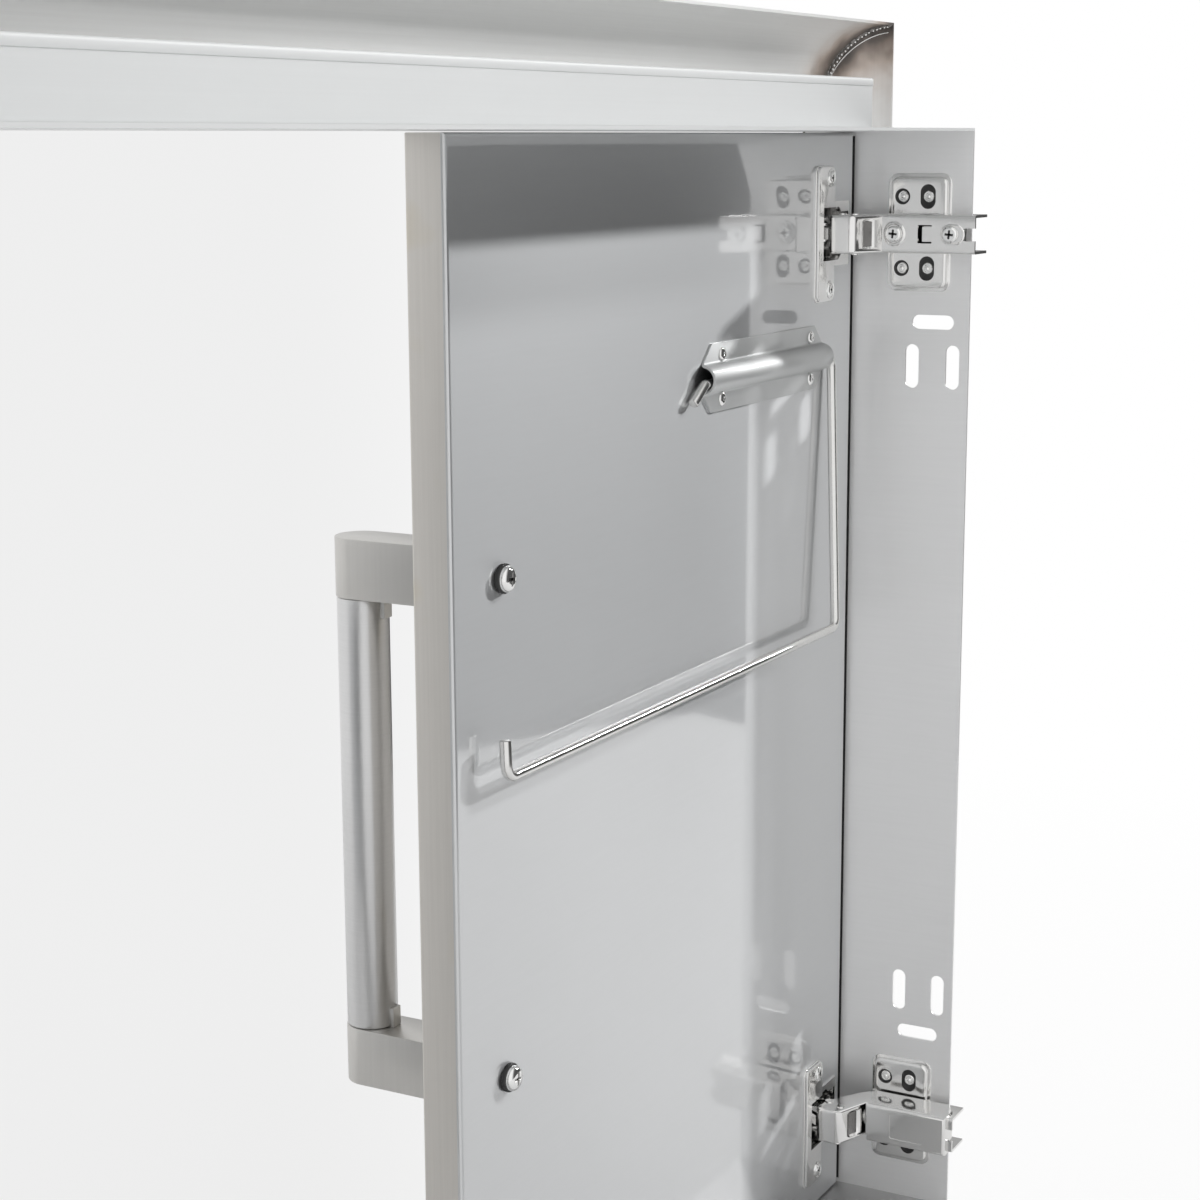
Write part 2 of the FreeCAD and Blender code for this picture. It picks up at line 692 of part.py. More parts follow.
cupScrews = sum([atHinges(cupScrew(rise * size("cupScrewRise"))) for rise in (1, -1)], [])
springs = [cupSpring(), cupSpring().mirror(Vector(), up)]
onBothLeaves("hinge_cups", Part.makeCompound(atHinges(cupShape())))
onBothLeaves("cup_screws", Part.makeCompound(cupScrews))
onBothLeaves("cup_pins", Part.makeCompound(sum([atHinges(pin) for pin in cupPins()], [])))
onBothLeaves("cup_springs", Part.makeCompound(sum([atHinges(spring) for spring in springs], [])))


# Leaf: outer pan, inner skin, stiffener

handleX = -size("centreGap") / 2 - size("handleInset")
handleXText = "(-$centreGap / 2 - $handleInset)"
handleZTexts = [f"({middleZ} + $handleRise {sign} $handleSpan / 2)" for sign in "+-"]

panBlank = rounded("PanRounded", block("PanBlank", (leafOuterX, leafInnerX),
                                       (leafFrontY, f"{leafBackY} - $leafSheet"), (leafLowZ, leafHighZ)),
                   size("leafCorner"), lambda c: abs(c.y - leafFront) < tiny)
panTools = [block("PanHollow", (f"{leafOuterX} + $leafSheet", f"{leafInnerX} - $leafSheet"),
                  (f"{leafFrontY} + $leafSheet", leafBackY),
                  (f"{leafLowZ} + $leafSheet", f"{leafHighZ} - $leafSheet"))]
skinTools = []
for i, handleZ in enumerate(handleZTexts):
    panTools.append(drum(f"PanHole{i}", "$handleScrewShank", "3 * $leafSheet", handleXText,
                         f"{leafFrontY} - $leafSheet", handleZ, back))
    skinTools.append(drum(f"SkinHole{i}", "$handleScrewShank", "3 * $leafSheet", handleXText,
                          f"{leafBackY} - 2 * $leafSheet", handleZ, back))
for i, sign in enumerate("+-"):
    hingeZ = f"({middleZ} {sign} {hingeRise})"
    skinTools.append(block(f"CupGate{i}", ("$cupNear - $openingWidth / 2", "$cupFar - $openingWidth / 2"),
                           (f"{leafBackY} - 2 * $leafSheet", f"{leafBackY} + $leafSheet"),
                           (f"{hingeZ} - $cupHeight / 2", f"{hingeZ} + $cupHeight / 2")))
    for j, rise in enumerate("+-"):
        skinTools.append(drum(f"CupScrewHole{i}{j}", "$cupScrewShank", "3 * $leafSheet",
                              "$cupScrewOut - $openingWidth / 2", f"{leafBackY} - 2 * $leafSheet",
                              f"{hingeZ} {rise} $cupScrewRise", back))
outerPan = cut("OuterPan", panBlank, fused("PanTools", panTools))
plainSkin = cut("PlainSkin", block("SkinBlank", (leafOuterX, leafInnerX), (f"{leafBackY} - $leafSheet", leafBackY),
                                   (leafLowZ, leafHighZ)), fused("SkinTools", skinTools))

rivetFirstX = "($bracketOut - $bracketLength + $rivetInset - $openingWidth / 2)"
bracketMidZ = f"({middleZ} + $bracketRise)"
rivetPlaces = []
for rivetX in (f"{rivetFirstX} + $rivetPitch", rivetFirstX):
    for riseSign in "+-":
        rivetPlaces.append((rivetX, f"{bracketMidZ} {riseSign} $rivetRise"))
rivetHoles = [drum(f"RivetHole{i}", "$rivetShank", "3 * $leafSheet", x, f"{leafBackY} - 2 * $leafSheet", z, back)
              for i, (x, z) in enumerate(rivetPlaces)]
leftSkin = cut("LeftSkin", plainSkin, fused("RivetHoles", rivetHoles))


def stiffener():
    # a hat channel that stands between the two skins
    width, sheet_ = size("stiffenerWidth"), size("stiffenerSheet")
    low = leafFront + size("leafSheet")
    depth = size("leafThickness") - 2 * size("leafSheet")
    height = size("openingHeight") - 2 * size("stiffenerMargin")
    x = size("bracketOut") + size("stiffenerGap") - halfWidth
    hat = Part.makeBox(width, depth, height, Vector(x, low, middle - height / 2))
    inside = Part.makeBox(width - 2 * sheet_, depth - sheet_, height,
                          Vector(x + sheet_, low, middle - height / 2))
    return hat.cut(inside)


keep(outerPan, "left_outer_pan")
keep(leftSkin, "left_inner_skin")
doc.recompute()
for name, source in (("right_outer_pan", outerPan), ("right_inner_skin", plainSkin)):
    node(name, mirror(source.Shape)).Placement = leafOpen
onBothLeaves("stiffener", stiffener())


# Handle: two posts, the tube between them, screws and washers

handleLevels = [middle + size("handleRise") + sign * size("handleSpan") / 2 for sign in (1, -1)]
tubeAxisY = leafFront - size("postReach")


def post(level, sign):
    half, height, reach = size("postWidth") / 2, size("postHeight"), size("postReach")
    low = level - height / 2
    bar = Part.makeBox(2 * half, reach, height, Vector(handleX - half, tubeAxisY, low))
    bar = bar.fuse(Part.makeCylinder(half, height, Vector(handleX, tubeAxisY, low)))
    start = level - sign * height / 2
    spigot = size("tubeRadius") - size("tubeWall") - size("spigotClearance")
    bar = bar.fuse(peg(spigot, Vector(handleX, tubeAxisY, start),
                       Vector(handleX, tubeAxisY, start - sign * size("spigotLength"))))
    bar = bar.removeSplitter()
    return bar.cut(peg(size("handleScrewShank"), Vector(handleX, leafFront, level),
                       Vector(handleX, leafFront - size("handleScrewBite"), level)))


def handleTube():
    low = handleLevels[1] + size("postHeight") / 2
    length = size("handleSpan") - size("postHeight")
    tube = Part.makeCylinder(size("tubeRadius"), length, Vector(handleX, tubeAxisY, low))
    bore = Part.makeCylinder(size("tubeRadius") - size("tubeWall"), length, Vector(handleX, tubeAxisY, low))
    return tube.cut(bore)


def handleScrew(level):
    shank, head, lift = size("handleScrewShank"), size("handleScrewHead"), size("handleScrewLift")
    seat = size("washerSheet")
    tip = -size("leafThickness") - size("handleScrewBite")
    profile = [(tip, 0), (tip, shank), (seat, shank), (seat, head), (seat + lift * 0.45, head),
               (seat + lift * 0.85, head * 0.75), (seat + lift, head * 0.4), (seat + lift, 0)]
    return turned(profile, Vector(handleX, leafBack, level), back)


def washer(level):
    seat = Vector(handleX, leafBack, level)
    ring = peg(size("washerRadius"), seat, seat + back * size("washerSheet"))
    return ring.cut(peg(size("handleScrewShank"), seat, seat + back * size("washerSheet")))


onBothLeaves("handle_posts", Part.makeCompound([post(handleLevels[0], 1), post(handleLevels[1], -1)]))
onBothLeaves("handle_tube", handleTube())
onBothLeaves("handle_screws", Part.makeCompound([handleScrew(level) for level in handleLevels]))
onBothLeaves("handle_washers", Part.makeCompound([washer(level) for level in handleLevels]))


# Paper towel holder on the left leaf

bracketX = size("bracketOut") - halfWidth
bracketZ = middle + size("bracketRise")
sleeveWall = size("bracketSheet")
sleeveY = leafBack + size("sleeveRise")
rodSlack = size("sleeveRadius") - sleeveWall - size("rodRadius") - size("rodClearance")
rodAxisY = sleeveY + size("rodAxisOut")
rodAxisZ = bracketZ - math.sqrt(rodSlack ** 2 - size("rodAxisOut") ** 2)


def towelBracket():
    length, half, cutBack = size("bracketLength"), size("bracketHeight") / 2, size("bracketChamfer")
    low = bracketX - length
    outline = [(low, cutBack - half), (low + cutBack, -half), (bracketX - cutBack, -half), (bracketX, cutBack - half),
               (bracketX, half - cutBack), (bracketX - cutBack, half), (low + cutBack, half), (low, half - cutBack)]
    sheet_ = prism([Vector(x, leafBack, bracketZ + z) for x, z in outline], Vector(0, size("bracketSheet"), 0))
    radius = size("sleeveRadius")
    sleeve = Part.makeCylinder(radius, length, Vector(low, sleeveY, bracketZ), across)
    foot = Part.makeBox(length, sleeveY - leafBack, 2 * radius, Vector(low, leafBack, bracketZ - radius))
    bore = Part.makeCylinder(radius - sleeveWall, length, Vector(low, sleeveY, bracketZ), across)
    mouth = Part.makeBox(length, sleeveY - leafBack, 2 * (radius - sleeveWall),
                         Vector(low, leafBack, bracketZ - radius + sleeveWall))
    buried = Part.makeBox(length, 2 * radius, 4 * radius, Vector(low, leafBack - 2 * radius, bracketZ - 2 * radius))
    bracket = sheet_.fuse([sleeve, foot]).cut(bore.fuse([mouth, buried]))
    for x, z in rivetCentres():
        bracket = bracket.cut(peg(size("rivetShank"), Vector(x, leafBack, z), Vector(x, leafBack + 2 * sleeveWall, z)))
    return bracket.removeSplitter()


def rivetCentres():
    first = bracketX - size("bracketLength") + size("rivetInset")
    return [(x, bracketZ + b * size("rivetRise")) for x in (first + size("rivetPitch"), first) for b in (1, -1)]


def rivet(x, z):
    shank, head, lift, seat = (size(n) for n in ("rivetShank", "rivetHead", "rivetLift", "bracketSheet"))
    tip = -size("leafSheet") - size("sheetScrewBite") / 2
    profile = [(tip, 0), (tip, shank), (seat, shank), (seat, head), (seat + lift * 0.5, head * 0.85),
               (seat + lift, head * 0.4), (seat + lift, 0)]
    return turned(profile, Vector(x, leafBack, z), back)


def bentRod(points, bends, radius):
    # a round rod along straight runs joined by tangent arcs
    edges = []
    start = points[0]
    for here, ahead, bend in zip(points[1:-1], points[2:], bends):
        into = (here - start).normalize()
        away = (ahead - here).normalize()
        turn = into.getAngle(away)
        setback = bend * math.tan(turn / 2)
        first, last = here - into * setback, here + away * setback
        inward = (away - into).normalize()
        centre = here + inward * (bend / math.cos(turn / 2))
        edges.append(Part.LineSegment(start, first).toShape())
        edges.append(Part.Arc(first, centre - inward * bend, last).toShape())
        start = last
    edges.append(Part.LineSegment(start, points[-1]).toShape())
    path = Part.Wire(edges)
    section = Part.Wire(Part.makeCircle(radius, points[0], points[1] - points[0]))
    return path.makePipeShell([section], True, False), path


def towelRod():
    tight, wide = size("rodShoulderBend"), size("rodBend")
    tail = Vector(bracketX + size("rodTailOut"), rodAxisY - size("rodTailIn"), rodAxisZ - size("rodTailDrop"))
    shoulder = Vector(bracketX + tight / 2, rodAxisY, rodAxisZ)
    upperX = size("rodShoulderOut") - halfWidth
    lowerX = size("rodHeelOut") - halfWidth
    hookX = size("rodHookOut") - halfWidth
    lowZ = rodAxisZ - size("rodDrop")
    lowY = rodAxisY + size("rodLean")
    hookY = lowY - size("rodLean") * size("rodHookRise") / size("rodDrop")
    points = [tail, shoulder, Vector(upperX, rodAxisY, rodAxisZ), Vector(lowerX, lowY, lowZ),
              Vector(hookX, lowY, lowZ), Vector(hookX, hookY, lowZ + size("rodHookRise"))]
    rod, path = bentRod(points, (tight, tight, wide, wide), size("rodRadius"))
    ideal = math.pi * size("rodRadius") ** 2 * path.Length
    print("towel rod volume against section times length:", round(rod.Volume / ideal, 4))
    return rod


node("towel_bracket", towelBracket())
node("towel_rivets", Part.makeCompound([rivet(x, z) for x, z in rivetCentres()]))
node("towel_arm", towelRod())

doc.recompute()
for item in doc.Objects:
    if "Invalid" in item.State or "Error" in item.State:
        raise RuntimeError(f"{item.Label} did not recompute: {item.State}")
for item in nodes:
    if item.Shape.isNull() or not item.Shape.isValid():
        raise RuntimeError(f"{item.Label} has no valid shape")

os.makedirs("parts", exist_ok=True)
for item in nodes:
    item.Shape.exportStep(f"parts/{item.Label}.step")
    print(item.Label, len(item.Shape.Solids), round(item.Shape.Volume))

for label, pivot in (("main arm", pivotMainArm), ("main cup", pivotMainCup), ("idle arm", pivotIdleArm)):
    left = pivot - across * halfWidth
    print(label, "left", tuple(left), "right", tuple(rightSide(pivot)))
print("right leaf pivot", tuple(mainOpen.multVec(rightSide(pivotMainCup))))
print("rod axis", rodAxisY, rodAxisZ)
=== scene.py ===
import bpy
import bmesh
import math
from mathutils import Matrix, Vector


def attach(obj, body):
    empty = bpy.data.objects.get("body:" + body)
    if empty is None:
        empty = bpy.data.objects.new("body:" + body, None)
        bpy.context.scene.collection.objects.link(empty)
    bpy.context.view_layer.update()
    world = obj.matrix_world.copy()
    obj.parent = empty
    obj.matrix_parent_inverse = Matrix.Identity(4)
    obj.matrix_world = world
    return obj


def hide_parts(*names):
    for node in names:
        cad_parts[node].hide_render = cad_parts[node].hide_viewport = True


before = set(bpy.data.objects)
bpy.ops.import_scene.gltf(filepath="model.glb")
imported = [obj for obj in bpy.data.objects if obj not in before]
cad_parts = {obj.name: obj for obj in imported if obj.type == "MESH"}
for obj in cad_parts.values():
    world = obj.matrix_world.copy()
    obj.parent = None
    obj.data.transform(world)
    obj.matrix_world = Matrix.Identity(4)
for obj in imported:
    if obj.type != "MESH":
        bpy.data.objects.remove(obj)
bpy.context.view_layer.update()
print("frame loaded:", len(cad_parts), "nodes")

# Shapes are drawn in millimetres, in the frame's axes, and turned into metres when a piece is finished.
millimetre = 0.001
opening = dict(halfWidth=352.5, low=50.0, high=560.0)
hinge = dict(fromMiddle=210.2, mainPivot=(325.6, 7.6), mainSwing=15.5, cupPivot=(337.0, -9.2), leafSwing=80.5)
middleZ = (opening["low"] + opening["high"]) / 2
hingeLevels = (middleZ + hinge["fromMiddle"], middleZ - hinge["fromMiddle"])

across, deep, up = Vector((1, 0, 0)), Vector((0, 1, 0)), Vector((0, 0, 1))


def about(x, y, degrees):
    # a turn round an upright line
    turn = Matrix.Rotation(math.radians(degrees), 4, "Z")
    return Matrix.Translation((x, y, 0)) @ turn @ Matrix.Translation((-x, -y, 0))


mirrored = Matrix.Diagonal((-1, 1, 1, 1))
leafOpen = about(*hinge["mainPivot"], hinge["mainSwing"]) @ about(*hinge["cupPivot"], hinge["leafSwing"])
atHinges = [Matrix.Translation((-opening["halfWidth"], 0, level)) for level in hingeLevels]


# Making and finishing meshes

def vertsOf(geom):
    return [v for v in geom if isinstance(v, bmesh.types.BMVert)]


def edgesOf(geom):
    return [e for e in geom if isinstance(e, bmesh.types.BMEdge)]


def block(bm, low, high):
    low, high = Vector(low), Vector(high)
    place = Matrix.Translation((low + high) / 2) @ Matrix.Diagonal((*(high - low), 1))
    return bmesh.ops.create_cube(bm, size=1, matrix=place)["verts"]


def linked(bm, chain):
    return [bm.edges.new(pair) for pair in zip(chain, chain[1:])]


def raised(bm, faces, lift):
    made = bmesh.ops.extrude_face_region(bm, geom=faces)["geom"]
    bmesh.ops.translate(bm, vec=lift, verts=vertsOf(made))


def drawnOut(bm, vec):
    # every edge pulled along a vector, into a sheet
    made = bmesh.ops.extrude_edge_only(bm, edges=bm.edges[:])["geom"]
    bmesh.ops.translate(bm, vec=vec, verts=vertsOf(made))


def flat(bm, outline, lift):
    # a face over an outline, pulled up by a vector
    raised(bm, [bm.faces.new([bm.verts.new(p) for p in outline])], lift)


def swung(bm, start, centre, axis, angle, steps):
    # an arc drawn from a vertex, and the vertex that it ends at
    return vertsOf(bmesh.ops.spin(bm, geom=[start], cent=centre, axis=axis, angle=angle, steps=steps)["geom_last"])[0]


def turned(bm, profile, centre, axis, steps=32):
    # a round shape from (distance along the axis, radius) pairs
    centre, axis = Vector(centre), Vector(axis)
    side = axis.orthogonal().normalized()
    chain = [bm.verts.new(centre + axis * d + side * r) for d, r in profile]
    bmesh.ops.spin(bm, geom=chain + linked(bm, chain), cent=centre, axis=axis, angle=2 * math.pi, steps=steps,
                   use_merge=True)
    bmesh.ops.remove_doubles(bm, verts=[v for v in bm.verts if v.is_valid], dist=1e-4)


def turnedAt(places, profile, axis, steps):
    bm = bmesh.new()
    for place in places:
        turned(bm, profile, place, axis, steps)
    return bm


def shape(draw, *values):
    # a new mesh with one block, prism or round shape in it
    bm = bmesh.new()
    draw(bm, *values)
    return bm


def soften(bm, edges, radius, steps=3):
    bmesh.ops.bevel(bm, geom=edges, offset=radius, offset_type="OFFSET", segments=steps, profile=0.5,
                    affect="EDGES", clamp_overlap=True, material=-1)


def softenWhere(bm, test, radius, steps=3):
    # the edges whose middle and direction pass a test
    ends = [(e, e.verts[0].co, e.verts[1].co) for e in bm.edges]
    soften(bm, [e for e, p, q in ends if test((p + q) / 2, (q - p).normalized())], radius, steps)


def softenSharp(bm, radius, steps=2, degrees=40):
    sharp = [e for e in bm.edges if len(e.link_faces) == 2 and e.calc_face_angle(0) > math.radians(degrees)]
    soften(bm, sharp, radius, steps)


def asMesh(bm, name):
    mesh = bpy.data.meshes.new(name)
    bm.to_mesh(mesh)
    bm.free()
    return mesh


def asObject(name, data):
    item = bpy.data.objects.new(name, data)
    bpy.context.scene.collection.objects.link(item)
    return item


def asItem(bm, name):
    bmesh.ops.recalc_face_normals(bm, faces=bm.faces[:])
    return asObject(name, asMesh(bm, name))


def carved(bm, tool):
    # one shape cut out of another, baked straight away
    whole, cutter = asItem(bm, "whole"), asItem(tool, "cutter")
    change = whole.modifiers.new("carve", "BOOLEAN")
    change.operation, change.object, change.solver, change.use_self = "DIFFERENCE", cutter, "EXACT", True
    bpy.context.view_layer.update()
    baked = bpy.data.meshes.new_from_object(whole.evaluated_get(bpy.context.evaluated_depsgraph_get()))
    result = bmesh.new()
    result.from_mesh(baked)
    leftovers = [baked, whole.data, cutter.data]
    for item in (whole, cutter):
        bpy.data.objects.remove(item)
    for mesh in leftovers:
        bpy.data.meshes.remove(mesh)
    return result


def joined(bm, *others):
    for other in others:
        mesh = asMesh(other, "part")
        bm.from_mesh(mesh)
        bpy.data.meshes.remove(mesh)
    return bm


def copies(bm, places):
    # the same shape again at each place
    sample = asMesh(bm, "sample")
    every = bmesh.new()
    for place in places:
        knownVerts, knownFaces = set(every.verts), set(every.faces)
        every.from_mesh(sample)
        bmesh.ops.transform(every, matrix=place, verts=[v for v in every.verts if v not in knownVerts])
        if place.determinant() < 0:
            bmesh.ops.reverse_faces(every, faces=[f for f in every.faces if f not in knownFaces])
    bpy.data.meshes.remove(sample)
    return every


def crossBars(centre, axis, reach, half, depth, top=1.0):
    # a driver's cross, narrower at its bottom
    centre, axis = Vector(centre), Vector(axis)
    one = (Matrix.Rotation(math.radians(40), 3, axis) @ axis.orthogonal()).normalized()
    turn = Matrix((one, axis.cross(one), axis)).transposed().to_4x4()
    lengthTaper, widthTaper = 0.6, 0.8
    tool = bmesh.new()
    for long, wide in ((reach, half), (half, reach)):
        for v in block(tool, (-long, -wide, -depth), (long, wide, top)):
            if v.co.z < -depth + 0.01:
                v.co.x *= lengthTaper if long > wide else widthTaper
                v.co.y *= widthTaper if long > wide else lengthTaper
    bmesh.ops.transform(tool, matrix=Matrix.Translation(centre) @ turn, verts=tool.verts[:])
    return tool


def drivenScrews(profile, places, axis, top, steps, cross):
    # screws with a driver's cross cut into their tops
    return joined(bmesh.new(), *[
        carved(shape(turned, profile, place, axis, steps), crossBars(place + axis * top, axis, *cross))
        for place in places])


def crossPlugs(places, axis, reach, half, depth):
    # dark plugs painted into the recesses as the shade at their bottoms, sunk a little under the screws' tops
    return joined(bmesh.new(), *[crossBars(place, axis, reach, half, depth, -0.35) for place in places])


def finishPiece(bm, name, look, body, stands=()):
    bmesh.ops.recalc_face_normals(bm, faces=bm.faces[:])
    bmesh.ops.scale(bm, vec=[millimetre] * 3, verts=bm.verts[:])
    mesh = asMesh(bm, name)
    mesh.shade_smooth()
    mesh.set_sharp_from_angle(angle=math.radians(38))
    item = asObject(name, mesh)
    mesh.materials.append(metals[look])
    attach(item, body)
    if stands:
        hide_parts(*stands)


def onLeaves(make, name, look, stands=()):
    # the piece shut on the left leaf and open on the right one
    for side, bm in (("left_", make()), ("right_", copies(make(), [leafOpen @ mirrored]))):
        finishPiece(bm, side + name, look, side + "leaf", [side + n for n in stands])


# Materials

def feed(tree, socket, value):
    if isinstance(value, bpy.types.NodeSocket):
        tree.links.new(value, socket)
    else:
        socket.default_value = (*value, 1) if socket.type == "RGBA" and len(value) == 3 else value


def newNode(tree, kind, values=None, **settings):
    item = tree.nodes.new(kind)
    for key, value in settings.items():
        setattr(item, key, value)
    for socket, value in (values or {}).items():
        feed(tree, item.inputs[socket], value)
    return item


def mathNode(tree, operation, first, second=None, clamp=False):
    values = {0: first} if second is None else {0: first, 1: second}
    return newNode(tree, "ShaderNodeMath", values, operation=operation, use_clamp=clamp).outputs[0]


def mixColour(tree, factor, first, second, blend="MIX"):
    values = {0: factor, 6: first, 7: second}
    return newNode(tree, "ShaderNodeMix", values, data_type="RGBA", blend_type=blend).outputs[2]


def mixShaders(tree, factor, first, second):
    return newNode(tree, "ShaderNodeMixShader", {0: factor, 1: first.outputs[0], 2: second.outputs[0]}).outputs[0]


def noise(tree, vector, scale, detail=2.0, roughness=0.5):
    values = {"Vector": vector, "Scale": scale, "Detail": detail, "Roughness": roughness}
    return newNode(tree, "ShaderNodeTexNoise", values).outputs["Fac"]


def ramped(tree, value, stops, **settings):
    # a colour ramp through (position, colour) stops, the first and the last given first
    item = newNode(tree, "ShaderNodeValToRGB", {0: value})
    ramp = item.color_ramp
    for key, setting in settings.items():
        setattr(ramp, key, setting)
    for i, (spot, colour) in enumerate(stops):
        stop = ramp.elements[i] if i < 2 else ramp.elements.new(spot)
        stop.position, stop.color = spot, (*colour, 1)
    return item.outputs["Color"]


def startGroup(name, inputs, outputs):
    group = bpy.data.node_groups.new(name, "ShaderNodeTree")
    for label, kind, value in inputs:
        socket = group.interface.new_socket(name=label, in_out="INPUT", socket_type=kind)
        if value is not None:
            socket.default_value = value
    for label, kind in outputs:
        group.interface.new_socket(name=label, in_out="OUTPUT", socket_type=kind)
    return group, group.nodes.new("NodeGroupInput").outputs, group.nodes.new("NodeGroupOutput").inputs


def makeGrainGroup():
    # fine rolling lines along one direction, with faint clouds and handling marks
    group, given, made = startGroup(
        "sheetGrain",
        [("Vector", "NodeSocketVector", None), ("Stretch", "NodeSocketVector", (20, 20, 900)),
         ("Colour", "NodeSocketColor", (0.6, 0.6, 0.6, 1)), ("Line Depth", "NodeSocketFloat", 0.1),
         ("Cloud Depth", "NodeSocketFloat", 0.05), ("Roughness", "NodeSocketFloat", 0.4),
         ("Roughness Spread", "NodeSocketFloat", 0.08), ("Relief", "NodeSocketFloat", 0.1)],
        [("Colour", "NodeSocketColor"), ("Roughness", "NodeSocketFloat"), ("Normal", "NodeSocketVector")])
    scaled = newNode(group, "ShaderNodeVectorMath", {0: given["Vector"], 1: given["Stretch"]}, operation="MULTIPLY")
    lines = noise(group, scaled.outputs[0], 1, 3, 0.65)
    lineSwing = mathNode(group, "SUBTRACT", lines, 0.5)
    cloudSwing = mathNode(group, "SUBTRACT", noise(group, given["Vector"], 7, 4, 0.55), 0.5)
    tone = mathNode(group, "ADD", mathNode(group, "MULTIPLY", lineSwing, given["Line Depth"]),
                    mathNode(group, "MULTIPLY", cloudSwing, given["Cloud Depth"]))
    tone = mathNode(group, "ADD", tone, 1)
    grey = newNode(group, "ShaderNodeCombineColor", {0: tone, 1: tone, 2: tone})
    feed(group, made["Colour"], mixColour(group, 1.0, given["Colour"], grey.outputs[0], "MULTIPLY"))
    rough = mathNode(group, "MULTIPLY", mathNode(group, "ADD", lineSwing, cloudSwing), given["Roughness Spread"])
    feed(group, made["Roughness"], mathNode(group, "ADD", rough, given["Roughness"], clamp=True))
    bump = newNode(group, "ShaderNodeBump", {"Distance": 0.0002, "Strength": given["Relief"], "Height": lines})
    feed(group, made["Normal"], bump.outputs["Normal"])
    return group


heat = dict(reach=0.03, wander=0.012, scale=90,
            stops=((0.0, (0.10, 0.09, 0.085)), (1.0, (1, 1, 1)), (0.10, (0.17, 0.145, 0.13)), (0.22, (0.36, 0.30, 0.265)),
                   (0.36, (0.62, 0.535, 0.48)), (0.55, (0.84, 0.79, 0.755)), (0.8, (0.95, 0.94, 0.93))))


def makeTintGroup():
    # heat colours either side of the mitre at each corner of the trim
    group, given, made = startGroup("heatTint", [("Colour", "NodeSocketColor", (0.6, 0.6, 0.6, 1))],
                                    [("Colour", "NodeSocketColor")])
    place = newNode(group, "ShaderNodeTexCoord").outputs["Object"]
    parts = newNode(group, "ShaderNodeSeparateXYZ", {0: place}).outputs
    outX = mathNode(group, "SUBTRACT", mathNode(group, "ABSOLUTE", parts[0]), opening["halfWidth"] * millimetre)
    rise = mathNode(group, "ABSOLUTE", mathNode(group, "SUBTRACT", parts[2], middleZ * millimetre))
    outZ = mathNode(group, "SUBTRACT", rise, (opening["high"] - middleZ) * millimetre)
    apart = mathNode(group, "ABSOLUTE", mathNode(group, "SUBTRACT", outX, outZ))
    gap = mathNode(group, "MULTIPLY", apart, math.sqrt(0.5))
    swing = mathNode(group, "SUBTRACT", noise(group, place, heat["scale"]), 0.5)
    push = mathNode(group, "MULTIPLY", swing, heat["wander"])
    gap = mathNode(group, "DIVIDE", mathNode(group, "ADD", gap, push), heat["reach"])
    feed(group, made["Colour"], mixColour(group, 1.0, given["Colour"], ramped(group, gap, heat["stops"]), "MULTIPLY"))
    return group


grainGroup = makeGrainGroup()
tintGroup = makeTintGroup()
# the trim's front is painted a shade darker than its island side
trimFront = dict(below=-0.2, shade=(0.64, 0.63, 0.61))
patches = dict(scale=30, start=0.6, full=0.72, amount=0.35, colour=(0.55, 0.49, 0.36))


def sheetMetal(name, look):
    material = bpy.data.materials.new(name)
    material.use_nodes = True
    tree = material.node_tree
    metallic = look.get("metallic", 1.0)
    place = newNode(tree, "ShaderNodeTexCoord").outputs
    grain = newNode(tree, "ShaderNodeGroup", {
        "Vector": place["Object"], "Stretch": look["stretch"], "Colour": look["colour"], "Line Depth": look["lines"],
        "Cloud Depth": look["clouds"], "Roughness": look["roughness"], "Roughness Spread": look["spread"],
        "Relief": look["relief"]}, node_tree=grainGroup).outputs
    colour = grain["Colour"]
    if name.startswith("trim"):
        # the welds' heat shows on the island side, the front is ground and brushed clean of it; the front is also
        # painted a shade darker than the island side and made fully metallic
        tint = newNode(tree, "ShaderNodeGroup", {"Colour": colour}, node_tree=tintGroup).outputs["Colour"]
        facing = newNode(tree, "ShaderNodeSeparateXYZ", {0: place["Normal"]}).outputs[1]
        front = mathNode(tree, "LESS_THAN", facing, trimFront["below"])
        colour = mixColour(tree, front, tint, mixColour(tree, 1.0, colour, trimFront["shade"], "MULTIPLY"))
        metallic = mathNode(tree, "ADD", mathNode(tree, "MULTIPLY", front, 1 - metallic), metallic)
    if name == "leafEdge":
        # faint straw patches left by heat and handling
        spots = ramped(tree, noise(tree, place["Object"], patches["scale"]),
                       ((patches["start"], (0, 0, 0)), (patches["full"], (1, 1, 1))))
        colour = mixColour(tree, mathNode(tree, "MULTIPLY", spots, patches["amount"]), colour, patches["colour"])
    values = {"Base Color": colour, "Metallic": metallic, "Roughness": grain["Roughness"], "Normal": grain["Normal"]}
    if "smear" in look:
        # rolled lines smear reflections across themselves
        strength, along = look["smear"]
        lean = newNode(tree, "ShaderNodeCombineXYZ", dict(enumerate(along)))
        values.update({"Anisotropic": strength, "Tangent": lean.outputs[0]})
    values.update(zip(("Coat Weight", "Coat Roughness", "Coat IOR"), look.get("coat", ())))
    for socket, value in values.items():
        feed(tree, tree.nodes["Principled BSDF"].inputs[socket], value)
    return material


